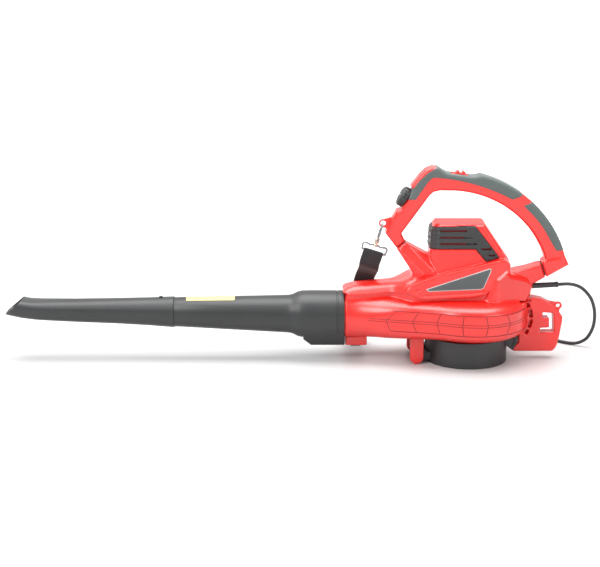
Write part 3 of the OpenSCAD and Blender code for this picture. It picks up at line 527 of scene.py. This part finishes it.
# the side panel with its flat face for the badge, and what lies under it
FACE = [(-119, 158), (-87, 138.2), (-2, 143.4), (35.5, 147.2), (46.5, 170), (64, 186), (90, 240),
        (-119, 240)]
PANEL = [(-122, 146), (-94, 131), (-2, 135), (28, 141), (52, 165), (70, 184), (72, 198), (62, 206),
         (25, 197.5), (-54, 177.5), (-95, 164.5), (-112, 157)]
CORE = [(-118, 112), (-120, 148), (-100, 160), (-60, 174), (26, 192), (58, 176), (34, 112)]
# the rear shoulder, the handle's two struts, and the bracket behind the casing
REAR = [(21, 112), (23, 123), (35, 147), (46.5, 170), (66, 186.5), (70, 183), (76, 174.5),
        (110, 162), (122, 152.5), (125, 143), (119, 128), (110, 112)]
REAR_PLAN = [(10, 62.8), (48, 62.8), (82, 44), (112, 24), (126, 13), (126, -40), (10, -40)]
STRUT = [(-136.8, 218.2), (-120.8, 229.8), (-73, 203), (-50, 190), (-50, 158), (-112, 156),
         (-107, 175)]
STUB = [(62, 150), (62, 168.5), (80, 172.3), (108, 180.5), (135.4, 189.2), (144.9, 162.3),
        (124, 150)]
BRACKET = [(91, 16), (86.5, 20.5), (99, 34), (99, 112), (97, 118), (125, 122.5), (142, 119),
           (165, 107.5), (181.5, 84.5), (181.5, 75), (177, 44), (172, 24), (165, 16)]
CORD_SLOT = [(144, 93), (164, 91), (166.5, 53.5), (139, 53), (140, 62), (157, 63), (156.5, 81),
             (143, 82)]
REAR_EYE = (174, 103.5)
COVER_PIN = (-97, 13)
AXIS = 87  # height of the tube's axis
WALL = 3
PANEL_W, REAR_W, STRUT_W = 57.6, 62.8, 17
INTAKE_R = 64.6
# the bracket's row of slots: their ring's centre and radius, and each one's middle and reach
SLOT_RING, SLOT_R = (70, 81), 51.5
SLOTS = [(-30.5, 5.2), (-11.5, 9.2), (11.5, 9.2), (30.5, 5.2)]


def tower_field(f):
    plan = poly(f.x, f.w, TOWER_PLAN)
    return chamfered(soft_poly(f.x, f.z + 0.11 * f.w, TOWER, 2), plan + 0.08 * (f.z - 185), 4.5)


def vent(f):
    """The grille's opening; its edges drop a little towards the tower's front."""
    return poly(f.x, f.z + 0.14 * np.maximum(43 - f.w, 0), VENT)


def mouth(f):
    """Distance to the duct and the fan casing behind it."""
    w0 = track(f.x, FLANK)
    low, high = track(f.x, FLOOR_Z), track(f.x, ROOF_Z)
    lean = np.gradient(w0.ravel(), f.step).reshape(w0.shape)
    t = np.clip((f.x + 215) / 110, 0, 1)
    t = t * t * (3 - 2 * t)
    ahead = (f.w - w0) / np.sqrt(1 + lean ** 2)
    behind = np.hypot(np.maximum(f.x - CASING_X, 0), f.w) - CASING_R
    side = np.where(f.x < CASING_X, ahead, behind)
    mid, half = (low + high) / 2, (high - low) / 2
    return rim(side, np.abs(f.z - mid) - half, 44 - 10 * t, 44 - 23.5 * t)


def housing_field(f):
    x, w, z = f.x, f.w, f.z
    pipe = np.hypot(w, z - AXIS)
    d = np.maximum(mouth(f), -232 - x)
    # the ridge over the duct: a sloped side down to a ledge, then a wall set back
    ledge = track(x, SPINE_LEDGE)
    flare = np.clip((x + 152) / 44, 0, 1)
    flare = 25 * flare * flare * (3 - 2 * flare)
    slope = (w - 36.5 - flare + 0.9 * np.maximum(z - ledge, 0)) * 0.75
    spine = rounded(soft_poly(x, z, SPINE, 2), slope, 7)
    spine = np.maximum(spine, (ledge - z) * 0.99)
    widen = np.clip((x + 152) / 52, 0, 1)
    inner = 30 + 25 * widen * widen * (3 - 2 * widen)
    core = rounded(np.minimum(poly(x, z, SPINE_CORE), poly(x, z, CORE)), (w - inner) * 0.9, 2)
    body = both(core, spine, 1.2)
    # the side: a flat face for the badge, with a ledge below it and behind it
    out = PANEL_W + np.clip(0.9 * poly(x, z, FACE), 0, REAR_W - PANEL_W)
    panel = rounded(poly(x, z, PANEL), (w - out) * 0.8, 1.2)
    body = both(body, panel, 1.2)
    rear = chamfered(poly(x, z, REAR), rounded(poly(x, w, REAR_PLAN), w - REAR_W, 5), 6.5)
    body = both(body, rear, 1.5)
    body = both(body, tower_field(f), 1.5)
    # the struts widen downwards and forwards from the handle's feet
    down = np.maximum(222 - z, 0)
    strut = rounded(poly(x, z, STRUT), (w - STRUT_W - 0.68 * down) * 0.83, 2)
    strut = np.maximum(strut, (poly(x, z, STRUT) + w - 14 - 0.33 * down) * 0.7)
    body = both(body, strut, 1.5)
    stub = chamfered(poly(x, z, STUB), w - STRUT_W - 0.25 * np.maximum(112 - x, 0), 3.5)
    body = both(body, stub, 4)
    d = both(d, body, 3.5)
    # the bracket with its eye, the cover's foot and the tube's lock block
    slab = cut(soft_poly(x, z, BRACKET, 4), soft_poly(x, z, CORD_SLOT, 1.6))
    d = both(d, chamfered(slab, w - 14, 2), 2)
    web = poly(x, z, [(150, 114), (171, 110.5), (178, 97), (176, 86)])
    ear = np.minimum(f.disc(*REAR_EYE, 7.5), web)
    d = both(d, rounded(ear, w - 2.8, 1), 1.5)
    foot = np.hypot(x - COVER_PIN[0], z - np.clip(z, COVER_PIN[1], 75)) - 13
    d = both(d, rounded(foot, np.abs(w - 41) - 5, 2.5), 3)
    block = np.maximum(np.abs(x + 210.5) - 20.5, np.abs(z - 38) - 11)
    d = both(d, rounded(block, w - 11, 2), 2)
    # the curved row of slots beside the casing, and the slit over the bracket
    cx, cz = SLOT_RING
    r, turn = np.hypot(x - cx, z - cz), np.degrees(np.arctan2(z - cz, x - cx))
    for middle, reach in SLOTS:
        row = rounded(np.abs(r - SLOT_R) - 3.1, (np.abs(turn - middle) - reach) * 0.9, 1)
        d = cut(d, np.maximum(row, 2.5 - w))
    slit = poly(x, z, [(94, 119), (119, 114.6), (119.6, 116.8), (94.6, 121.4)])
    d = cut(d, np.maximum(slit, 10.5 - w))
    # hollow it, then add the tube's spigot
    solid = d
    d = cut(d, d + WALL)
    d = np.minimum(d, np.maximum(np.abs(pipe - 40.9) - 1.1, np.abs(x + 251) - 23))
    # every way in: duct, intake, vent, eye, cord entry, lock button, hinge pin
    d = cut(d, np.maximum(pipe - 39.8, np.abs(x + 250) - 30))
    d = cut(d, np.maximum(np.hypot(x, w) - INTAKE_R, z - 60))
    d = cut(d, vent(f))
    d = cut(d, f.disc(*REAR_EYE, 3.75))
    d = cut(d, np.maximum(np.hypot(w, z - 142) - 5.7, np.abs(x - 126) - 8))
    d = cut(d, np.maximum(np.maximum(np.abs(x + 212) - 9, w - 6), z - 34))
    d = cut(d, np.maximum(f.disc(*COVER_PIN, 3.1), w - 44))
    return d, solid


SCREWS = [(-207, 139), (-134, 146), (-95, 150), (-67, 214), (46, 228), (62, 184), (104, 152)]
f = Field((-277, -2.4, -2), (187, 111, 276), sampling(1.2))
d, solid = housing_field(f)
left = f.piece(d, "housing_left", -1, "blower", "red_shell")
for cx, cz in SCREWS:
    d = np.minimum(d, np.maximum(solid, np.maximum(f.disc(cx, cz, 6.2), 16 - f.w)))
    d = cut(d, np.maximum(f.disc(cx, cz, 4), 20 - f.w))
right = f.piece(d, "housing_right", 1, "blower", "red_shell")
del d, solid
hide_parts("casing_left", "body_left", "front_feet")
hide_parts("casing_right", "body_right", "rear_bracket")

# ---------------------------------------------------------------- vent grille

f = Field((-86, -2, 192), (60, 48, 272), sampling(0.8))
tower, opening = tower_field(f), vent(f)
up = f.z + 0.14 * np.maximum(43 - f.w, 0)
# level louvres round the front, and slanted ribs down the rear
at_front = np.clip((-58 - f.x) / 4, 0, 1)
wave = np.abs(np.sin(math.pi * (up - 222.5) / 8.2)) ** 0.7
steps = np.abs(np.sin(math.pi * (f.z + 0.3 * f.x - 219) / 8.4)) ** 0.6
skin = tower - 1.0 - at_front * 1.5 * wave - 1.3 * steps * np.clip((f.x - 6) / 6, 0, 1)
d = cut(skin, tower + 2.6)
d = np.maximum(d, opening + 0.35)
# open slots along the side, and three across the front
slot_half = 1.7
for x0, x1, zc in ((-58, -8, 256), (-58, 2, 243.8), (-58, 11, 231.8), (19, 38, 222.5),
                   (33, 45, 211)):
    slot = rounded(np.abs(f.x - (x0 + x1) / 2) - (x1 - x0) / 2, np.abs(f.z - zc) - slot_half, 0.8)
    d = cut(d, np.maximum(slot, 20 - f.w))
for zc in (231.8, 243.8, 256):
    d = cut(d, np.maximum(rounded(f.w - 20, np.abs(up - zc) - slot_half, 0.8), f.x + 66))
# a thin wall behind the slots in a darker red: painted shade for the shaded inside
liner = np.maximum(np.abs(tower + 4.2) - 0.7, opening + 1.5)
for side, name in ((-1, "left"), (1, "right")):
    grille = f.piece(d, "grille_" + name, side, "blower", "black_plastic")
    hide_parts("vent_grille_" + name)
    f.piece(liner, "grille_liner_" + name, side, "blower", "red_shell", material=MATS["red_liner_shade"])

# ---------------------------------------------------------------- handle and grips

# the bow's outer and inner arcs: centre and radius
OUTER = ((-36, 137.5), 226)
INNER = ((-40.5, 132.5), 195.5)
HANDLE_W = 17
HANDLE_LOW_W = -2.4
HANDLE = ([(-137, 219.4), (-158, 247), (-148, 270), (-137, 290), (-130, 292), (-108, 331),
           (-112, 335), (-95, 357), (-85, 367), (-73, 372), (-62, 371), (-53, 364.5), (-44, 360),
           (-35, 359), (0, 354), (8, 354.5)]
          + arc(*OUTER, 76, 17, 24)
          + [(188, 187), (162, 172), (147, 163.2), (137.3, 191), (143.5, 195)]
          + arc(*INNER, 22, 88, 24)
          + [(-58, 328), (-70, 325), (-77, 318.5), (-128, 246.5), (-121, 231.2)])
FRONT_GRIP = ([(-118, 311), (-103, 311), (-90, 330.5), (-80, 345), (-73, 351.5)]
              + [(-81 + r * math.cos(a), -12 + r * math.sin(a)) for r, a in
                 zip(np.linspace(365, 360, 11), np.radians(np.linspace(88, 64.5, 11)))]
              + [(78, 311.5), (97, 319), (60, 400), (-50, 400), (-61, 374), (-81, 362),
                 (-97, 346.7), (-110, 329)])
REAR_GRIP = [(98, 300), (113, 306), (140, 330), (260, 260), (190, 213), (175, 215), (163, 214)] \
    + arc((-38, 135), 213, 28, 44, 8)
FOOT = [(137.3, 191), (144, 197.5), (175, 202), (183, 193), (188, 187), (162, 172), (147, 163.2)]
EYE = (-162, 263.5)
DIAL_AT, DIAL_TILT = (-119, 0, 311.5), -math.atan2(39, 22)
SWITCH_AT, SWITCH_TILT = (-20, 0, 356.2), math.radians(6.5)
HANDLE_SCREWS = [(-137, 262), (-71, 336), (38, 318.5), (118, 262), (160, 187)]


def tilted(f, at, tilt):
    """Coordinates along and out of a face that leans by tilt."""
    dx, dz = f.x - at[0], f.z - at[2]
    return (dx * math.cos(tilt) - dz * math.sin(tilt), dx * math.sin(tilt) + dz * math.cos(tilt))


def switch_well(f):
    along, out = tilted(f, SWITCH_AT, SWITCH_TILT)
    well = np.maximum(rounded(np.abs(along + 1) - 17, f.w - 9.5, 3), -1.2 - out)
    slot = np.maximum(np.maximum(np.abs(along + 3) - 8.5, f.w - 4.6), -9 - out)
    return np.minimum(well, slot)


f = Field((-174, HANDLE_LOW_W, 160), (191, 20, 374), sampling(1.0))
loop = poly(f.x, f.z, HANDLE)
bar = rounded(loop, f.w - HANDLE_W, 6)
d = chamfered(loop, f.w - HANDLE_W, 3.5)
d = np.maximum(d, bar - 0.9)
d = both(d, chamfered(poly(f.x, f.z, FOOT), f.w - HANDLE_W - 1.3, 2.5), 0.8)
# the strap's eye, the switch's well and the dial's seat
web = poly(f.x, f.z, [(-164, 270.5), (-146, 276), (-150, 252), (-167, 257)])
ear = np.minimum(f.disc(*EYE, 8), web)
d = both(d, rounded(ear, f.w - 2.5, 1), 2)
d = cut(d, f.disc(*EYE, 5))
d = cut(d, switch_well(f))
along, out = tilted(f, DIAL_AT, DIAL_TILT)
d = cut(d, np.maximum(np.hypot(along, f.w) - 20.5, -out))
d = cut(d, np.maximum(np.hypot(along, f.w) - 3.4, -9 - out))
left = f.piece(d, "handle_shell_left", -1, "blower", "red_shell")
for cx, cz in HANDLE_SCREWS:
    d = cut(d, np.maximum(f.disc(cx, cz, 4), 10 - f.w))
right = f.piece(d, "handle_shell_right", 1, "blower", "red_shell")
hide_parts("handle_left")
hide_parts("handle_right")

# each grip is one pad over both halves, 0.7 mm proud
pad = rounded(loop - 0.7, f.w - HANDLE_W - 0.7, 6.5)
two = Field((-174, -20, 160), (191, 20, 374), f.step)
index = np.round((np.abs(two.w.ravel()) - HANDLE_LOW_W) / f.step).astype(int)
index = np.clip(index, 0, f.w.shape[1] - 1)
for name, region, node in (("grip_pad_front", FRONT_GRIP, "front_grip"),
                           ("grip_pad_rear", REAR_GRIP, "rear_grip")):
    d = rounded(pad, poly(f.x, f.z, region), 0.8)
    d = cut(d, bar + 2.2)
    d = cut(d, switch_well(f))
    grip = two.piece(d[:, index, :], name, 0, "blower", "grip_rubber")
    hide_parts(node)
del d, pad, loop, bar

# dark red sheets of painted shade where the handle meets its struts
for name, quad in (("handle_joint_front", [(-135, 221), (-121, 231.5), (-114, 219), (-127, 211)]),
                   ("handle_joint_rear", [(128, 184), (140, 189), (149, 168), (137, 162)])):
    points = [(x, w, z) for w in (-13.5, 13.5) for x, z in quad]
    faces = [(0, 1, 2, 3), (7, 6, 5, 4)]
    faces += [(i, i + 4, (i + 1) % 4 + 4, (i + 1) % 4) for i in range(4)]
    add_mesh(name, points, faces, "blower", "red_shell", MATS["red_painted_shade"], smooth=False)

# ---------------------------------------------------------------- blowing tube

def ring_x(x, cz, ry, rz, slant=0.0, power=2.0, n=72):
    """A ring about the tube's axis; power above 2 squares it off."""
    ring = []
    for i in range(n):
        a = 2 * math.pi * i / n
        c, s = math.cos(a), math.sin(a)
        c = math.copysign(abs(c) ** (2 / power), c)
        s = math.copysign(abs(s) ** (2 / power), s)
        ring.append((x - slant * s, ry * c, cz + rz * s))
    return ring


def tube(name, outer, inner, body):
    """A pipe from rings outside and back inside, each x, height, half width, half height, ..."""
    rings = [ring_x(*s) for s in outer] + [ring_x(*s) for s in inner]
    rings.append(rings[0])
    points, faces = loft(rings, caps=False)
    piece = add_mesh(name, points, faces, body, "black_plastic")
    outward(piece.data, weld=True)
    piece.data.set_sharp_from_angle(angle=math.radians(32))
    return piece


# the rear tube is round: x, rise above the axis, radius
outer = [(-234, 0, 44.2), (-235, 0, 45), (-245.5, 0, 45), (-246.3, 0, 44.2), (-248.2, 0, 44.2),
         (-249, 0, 45), (-300, 0, 45), (-315, 0, 44.6), (-322, 0, 43), (-331, 0, 38.4),
         (-337, 0, 36.6), (-345, 0.1, 36), (-400, 1.1, 33.9), (-480, 2.5, 30.9), (-556, 3.8, 28),
         (-557, 3.8, 27.6), (-595, 4.5, 24.6)]
inner = [(-595, 4.5, 22.6), (-556, 3.8, 25.8), (-337, 0, 34), (-302, 0, 42.8), (-234, 0, 42.8)]
outer, inner = [[(x, AXIS + rise, r, r) for x, rise, r in rings] for rings in (outer, inner)]
rear_tube = tube("tube_rear", outer, inner, "blow_tube")
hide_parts("rear_tube")

# the nozzle squares off towards its slanted mouth: x, height, half width, half height, slant, power
TIP = [(-660, AXIS + 5.8, 26, 24.4, 0, 2.1), (-745, AXIS + 7, 26, 21.6, 0, 2.3),
       (-795, AXIS + 8.4, 27, 19.9, -1, 2.5), (-818, AXIS + 9.4, 27.5, 18.7, -4, 2.7),
       (-838, AXIS + 11.3, 28, 17, -9, 2.8), (-852, AXIS + 14, 28.3, 15.5, -13, 2.9),
       (-859.5, AXIS + 15.8, 28.4, 14.9, -16, 2.9), (-862, AXIS + 16.4, 28.4, 14.4, -16, 2.9)]
outer = [(-557.4, AXIS + 3.8, 28.9, 28.9), (-558.2, AXIS + 3.8, 29.5, 29.5),
         (-564, AXIS + 3.9, 29.3, 29.3), (-599, AXIS + 4.6, 27.4, 27.2)] + TIP
tip_wall = 2
inner = [(x, z, a - tip_wall, b - tip_wall, s, p) for x, z, a, b, s, p in TIP[::-1]]
inner += [(-599, AXIS + 4.6, 25.6, 25.4), (-557.4, AXIS + 3.8, 28.2, 28.2)]
nozzle = tube("tube_nozzle", outer, inner, "nozzle")
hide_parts("front_nozzle")

# the keel under the collar, tangent to it, with its ramp
KEEL = [(-232.4, 64), (-232.4, 29), (-234, 27.5), (-297, 27.5), (-312, 41.5), (-312, 64)]
f = Field((-316, -40, 25), (-231, 40, 66), sampling(0.9))
flank = 0.828 * (np.abs(f.w) - 14) - 0.562 * (f.z - 27.5)
d = rounded(rounded(poly(f.x, f.z, KEEL), flank, 4), f.z - 61, 0.5)
d = cut(d, np.hypot(f.w, f.z - AXIS) - 44.3)
f.piece(d, "tube_rail", 0, "blow_tube", "black_plastic")

# ---------------------------------------------------------------- badge, dial, small parts

BADGE = [(-83, 150.2), (-81, 147), (-77, 145.6), (18, 149.7), (23.5, 152), (36, 184), (36.3, 188.6),
         (33.5, 189.6)]
for side, name in ((-1, "badge_left"), (1, "badge_right")):
    for part, grow, y0, y1, mat in (("rim", 0.0, 57.2, 58.5, "badge_rim"),
                                    ("face", 1.3, 57.8, 58.8, "badge_plastic")):
        pts = inset(BADGE, grow)
        n = len(pts)
        points = [(x, side * y, z) for y in (y0, y1) for x, z in pts]
        faces = [tuple(range(n)), tuple(range(2 * n - 1, n - 1, -1))]
        faces += [(i, i + n, (i + 1) % n + n, (i + 1) % n) for i in range(n)]
        piece = add_mesh(f"{name}_{part}", points, faces, "blower", "badge_plastic", MATS[mat],
                         smooth=False)
        outward(piece.data)
        bevel(piece, 0.3)
        if part == "face":
            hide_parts(name)


def turned(profile, n=144, wave=None):
    """Rings about +Z from a profile of radius and height; wave changes the radius round the rim."""
    rings = []
    for r, h, ripple in profile:
        ring = []
        for a in np.arange(n) * 2 * math.pi / n:
            grown = r + ripple * (wave(a) if wave else 0)
            ring.append((grown * math.cos(a), grown * math.sin(a), h))
        rings.append(ring)
    return loft(rings)


def placed(points, at, tilt):
    """Points turned by tilt about Y and moved to at."""
    m = Matrix.Translation(at) @ Matrix.Rotation(tilt, 4, "Y")
    return [tuple(m @ Vector(p)) for p in points]


def knurl(a):
    """The dial's 18 grooves."""
    return -1.0 if math.cos(a * 18) < -0.2 else 0.0


KNOB = [(16, 0.6, 0), (19.2, 1.0, 0.2), (19.5, 2.2, 1.3), (19.5, 9.5, 1.3), (19.1, 10.8, 0.9),
        (16.4, 13.2, 0.3), (15.2, 13.7, 0), (12.5, 13.4, 0), (12, 12.9, 0)]
points, faces = turned(KNOB, wave=knurl)
dial = add_mesh("dial_knob", placed(points, DIAL_AT, DIAL_TILT), faces, "dial", "black_plastic")
dial.data.set_sharp_from_angle(angle=math.radians(38))
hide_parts("speed_dial")
# a pointer bar on the dial's face
points = [(x, y, z) for z in (12.6, 14.1) for x, y in ((-1.2, 2), (1.2, 2), (1.2, 11), (-1.2, 11))]
faces = [(3, 2, 1, 0), (4, 5, 6, 7), (0, 1, 5, 4), (1, 2, 6, 5), (2, 3, 7, 6), (3, 0, 4, 7)]
mark = add_mesh("dial_pointer", placed(points, DIAL_AT, DIAL_TILT), faces, "dial", "black_plastic",
                MATS["badge_rim"], smooth=False)
bevel(mark, 0.3)

# CAD pieces that only need their edges broken
for name, width in (("intake_cover", 0.9), ("cord_guard", 0.5), ("switch_slider", 0.5),
                    ("tube_label", 0.1), ("tube_lock_button", 0.6), ("nozzle_catch", 0.4),
                    ("plug_pins", 0.4), ("cord_clamp", 0.3), ("motor_stator", 0.4), ("fan_nut", 0.3),
                    ("housing_screws", 0.2), ("handle_screws", 0.2)):
    bevel(NODES[name], width)

# a black ear on the cover on the near side of the bracket, painted shade for the bracket's shaded
# inner face
EAR = [(68, 49), (68, 31), (75, 29.5), (88, 19.5), (95.5, 35), (95.5, 49)]
f = Field((64, -2, 15), (100, 26, 52), sampling(0.8))
d = rounded(soft_poly(f.x, f.z, EAR, 1.2), np.abs(f.w - 18) - 3.2, 0.9)
d = cut(d, np.maximum(soft_poly(f.x, f.z, inset(EAR, 5), 1), 20 - f.w))
f.piece(d, "cover_ear_shade", -1, "cover", "black_plastic")

# ---------------------------------------------------------------- plug

f = Field((-46, -21, -15), (2, 21, 15), sampling(0.7))
r = np.sqrt((f.w / 17.2) ** 2 + (f.z / 12.2) ** 2)
head = rounded((r - 1) * 12.2, np.abs(f.x + 32) - 9.8, 3)
neck = np.hypot(f.w, f.z) - (6.2 - 0.1 * np.minimum(f.x + 16, 0))
neck = np.maximum(neck, np.abs(f.x + 16) - 16)
neck = neck + 0.45 * np.clip(np.sin(f.x * 1.9), 0, 1) * (f.x > -14)
d = both(head, neck, 9)
d = np.maximum(d, np.abs(f.w) - 17.2)
plug = f.piece(d, "plug_body", 0, None, "cord_rubber")
plug.matrix_world = Matrix.Translation(Vector(CORD_ROUTE[-1]) * MM)
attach(plug, "blower")
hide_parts("power_plug")

# ---------------------------------------------------------------- hook, ring and strap

HANG = math.radians(17.5)
# heights of the strap's wire ring below the eye
RING_LOW, RING_TOP = -58, -45


def hook_point(p):
    """From the hook's own frame, hanging from the eye, to the row frame."""
    m = Matrix.Translation((EYE[0], 0, EYE[1])) @ Matrix.Rotation(HANG, 4, "Y")
    return tuple(m @ Vector(p))


def spare_point(p):
    """The spare hook lies on the folded strap with its nose along +Y."""
    x, y, z = p
    return (-210 + x, 189 - z - 58, 22.1 + y * 0.2)


def hook_parts(name, place, body, half):
    """A bolt snap hook with its swivel and a wire loop for the strap, half its inner width."""
    right = [(5, RING_TOP + 0.8), (9, RING_TOP - 1.2), (half - 3, RING_TOP + 0.6),
             (half + 1.2, RING_TOP - 3), (half, RING_LOW + 3), (half - 3, RING_LOW)]
    left = [(-x, z) for x, z in right]
    ring = [(x, 0, z) for x, z in left[-2:] + right[::-1] + left[:-2]]
    loop = smooth_path(ring + ring[:1], 6)[:-1]
    loop_wire = wire(name + "_ring", [place(p) for p in loop], 1.7, body, "plated_wire", cyclic=True)
    bow = [(0, 7, -31)] + [(0, 7 * math.cos(math.radians(a)), -9.2 + 7 * math.sin(math.radians(a)))
                           for a in range(0, 181, 15)]
    wire(name + "_bow", [place(p) for p in smooth_path(bow, 3)], 1.8, body, "plated_wire")
    profile = [(2.2, -47.6, 0), (4.2, -46.8, 0), (4.5, -44.2, 0), (3.0, -42.8, 0), (2.4, -41, 0),
               (3.9, -39.6, 0), (4.3, -37, 0), (4.3, -33, 0), (3.6, -30.4, 0), (2.6, -29.4, 0)]
    points, faces = turned(profile, 40)
    swivel = add_mesh(name + "_swivel", [place(p) for p in points], faces, body, "plated_wire",
                      MATS["swivel_brass"])
    # the crossbar that the bow and the bolt are set in
    points, faces = turned([(1.2, 0, 0), (2.0, 0.8, 0), (2.0, 12.4, 0), (1.2, 13.2, 0)], 32)
    across = [place((x, z - 6.6, y - 34.4)) for x, y, z in points]
    add_mesh(name + "_shoulder", across, faces, body, "plated_wire")
    return loop_wire, swivel


front_ring, front_swivel = hook_parts("front_hook", hook_point, "strap_hook", 22.5)
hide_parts("snap_hook")
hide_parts("strap_ring")
_, spare_swivel = hook_parts("spare_hook_set", spare_point, "blower", 21.5)
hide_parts("spare_hook")


def strap_path():
    """The strap's middle line, the directions across it, and how much of it hangs free.

    It runs from the sewn end over the ring, down behind the duct, to a pile on the floor.
    """
    line, across = [], []
    lean = Vector((math.cos(HANG), 0, -math.sin(HANG)))
    for y, z in ((2.9, -84), (2.9, -72), (2.9, -64)):
        line.append(hook_point((0, y, z)))
    for a in np.radians(range(0, 181, 20)):
        line.append(hook_point((0, 2.9 * math.cos(a), RING_LOW + 2.9 * math.sin(a))))
    for y, z in ((-2.9, -64), (-1.6, -72), (-0.4, -82)):
        line.append(hook_point((0, y, z)))
    first = len(line)
    line += [(-187.5, 4.5, 177), (-188.5, 19, 168), (-191.5, 35, 156), (-195, 46, 141),
             (-198, 51.5, 122), (-201.5, 57, 98), (-205, 66, 74), (-207.5, 81, 51),
             (-209.5, 101, 30), (-210, 124, 11), (-210, 142, 2.6)]
    free = len(line)
    for i in range(len(line)):
        t = max(0.0, min(1.0, (i - first) / 4))
        across.append(lean.lerp(Vector((1, 0, 0)), t).normalized())
    # folded to and fro on the floor
    y0, y1, rise, layers = 156, 258, 2.05, 9
    for k in range(layers):
        z = 1.1 + rise * k
        a, b = (y0, y1) if k % 2 == 0 else (y1, y0)
        slack = 2.0 + (k * 7 % 5)
        run = np.linspace(a, b - math.copysign(slack, b - a), 14)
        sway = 0.5 * math.sin(k * 2.1)
        line += [(-210 + sway, float(y), z + 0.25 * math.sin(y * 0.12 + k)) for y in run]
        if k < layers - 1:
            side = math.copysign(1, b - a)
            line += [(-210, float(run[-1]) + side * 1.4 * math.sin(q),
                      z + rise / 2 * (1 - math.cos(q))) for q in np.radians(range(20, 161, 20))]
    across += [Vector((1, 0, 0))] * (len(line) - free)
    return line, across, free


def make_strap(width, thick):
    """One strip of webbing along the path, with rounded edges and flat coordinates in metres."""
    line, across, free = strap_path()
    wide = np.concatenate([smooth_path([tuple(v) for v in across[:free]], 3), across[free:]])
    path = np.concatenate([smooth_path(line[:free], 3), line[free:]])
    total = path_length(path)
    half = [(s, math.sqrt(max(0.0, 1 - abs(s) ** 14)) * 0.5 + 0.02) for s in np.linspace(-1, 1, 13)]
    section = half + [(s, -edge) for s, edge in half[::-1]]
    rings, flat = [], []
    run = np.concatenate([[0], np.cumsum(np.linalg.norm(np.diff(path, axis=0), axis=1))])
    n = len(path)
    for i in range(n):
        t = path[min(i + 1, n - 1)] - path[max(i - 1, 0)]
        t = t / np.linalg.norm(t)
        u = wide[i] - (wide[i] @ t) * t
        u = u / np.linalg.norm(u)
        v = np.cross(t, u)
        rings.append([path[i] + u * s * width / 2 + v * edge * thick for s, edge in section])
        flat += [(s * width / 2 * MM, run[i] * MM) for s, edge in section]
    points, faces = loft(rings)
    mesh = bpy.data.meshes.new("strap")
    mesh.from_pydata((np.array(points) * MM).tolist(), [], faces)
    mesh.materials.append(MATS["webbing"])
    mesh.shade_smooth()
    layer = mesh.uv_layers.new(name="flat")
    loops = np.zeros(len(mesh.loops), np.int32)
    mesh.loops.foreach_get("vertex_index", loops)
    layer.data.foreach_set("uv", np.array(flat, np.float32)[loops].ravel())
    outward(mesh)
    mesh.set_sharp_from_angle(angle=math.radians(50))
    strap = bpy.data.objects.new("strap", mesh)
    bpy.context.collection.objects.link(strap)
    return strap, total


STRAP_WIDTH = 38.0
strap, strap_length = make_strap(STRAP_WIDTH, 1.5)
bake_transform(strap)
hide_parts("strap_end", "strap_web", "strap_stack")

# ---------------------------------------------------------------- floor and light

s = Shader("floor", (0.5, 0.5, 0.5), 0.45)
floor_tint = s.mix(s.noise(3, 3), (0.56, 0.56, 0.56), (0.59, 0.59, 0.59))
at = s.add("ShaderNodeSeparateXYZ", {"Vector": s.at}).outputs
# the floor glows white away from the object's shadow: painted light that grows with distance
along = s.math("MULTIPLY", s.math("ADD", at[0], 0.3), 0.7)
away = s.math("ADD", at[1], 1.0)
reach = s.math("POWER", s.math("ADD", s.math("POWER", along, 2), s.math("POWER", away, 2)), 0.5)
glow = s.math("MULTIPLY", s.step(reach, 0.25, 1.5), 0.8)
s.finish(floor_tint, s.math("ADD", 0.36, s.math("MULTIPLY", s.noise(14, 3), 0.1)),
         Emission_Color=(1, 1, 1, 1), Emission_Strength=glow)


def stage_plane(name, material, **place):
    bpy.ops.mesh.primitive_plane_add(size=14, **place)
    plane = bpy.context.object
    plane.name = name
    plane.data.materials.append(material)


stage_plane("floor", s.mat, location=(0, 1, 0))

world = bpy.data.worlds.new("studio")
bpy.context.scene.world = world
world.use_nodes = True
# soft light from all round, and plain white where the camera sees past the wall
backdrop = world.node_tree.nodes["Background"]
backdrop.inputs["Color"].default_value = (1, 1, 1, 1)
strength = world.node_tree.nodes.new("ShaderNodeMapRange")
for limit, value in (("To Min", 0.42), ("To Max", 1.0)):
    strength.inputs[limit].default_value = value
seen = world.node_tree.nodes.new("ShaderNodeLightPath").outputs["Is Camera Ray"]
world.node_tree.links.new(seen, strength.inputs["Value"])
world.node_tree.links.new(strength.outputs[0], backdrop.inputs["Strength"])


def area_light(name, at, aim, size, power):
    light = bpy.data.objects.new(name, bpy.data.lights.new(name, "AREA"))
    bpy.context.collection.objects.link(light)
    light.data.shape = "RECTANGLE"
    light.data.size, light.data.size_y = size
    light.data.energy = power
    light.location = at
    light.rotation_euler = (Vector(aim) - Vector(at)).to_track_quat("-Z", "Y").to_euler()


area_light("key", (-2.0, -1.5, 2.0), (-0.1, 0, 0.15), (1.4, 1.2), 52)
area_light("fill", (1.7, -1.8, 1.3), (0, 0, 0.15), (1.4, 1.4), 22)
area_light("top", (-0.3, 0.2, 2.3), (-0.3, 0, 0), (3.0, 1.8), 108)

# a bright wall well behind, so the background is plain
s = Shader("wall", (0.0, 0.0, 0.0), 1.0)
s.finish(Emission_Color=(1, 1, 1, 1), Emission_Strength=1.0)
stage_plane("wall", s.mat, location=(0, 7.5, 2), rotation=(math.pi / 2, 0, 0))

bpy.context.scene.view_settings.view_transform = "Standard"
bpy.context.view_layer.update()
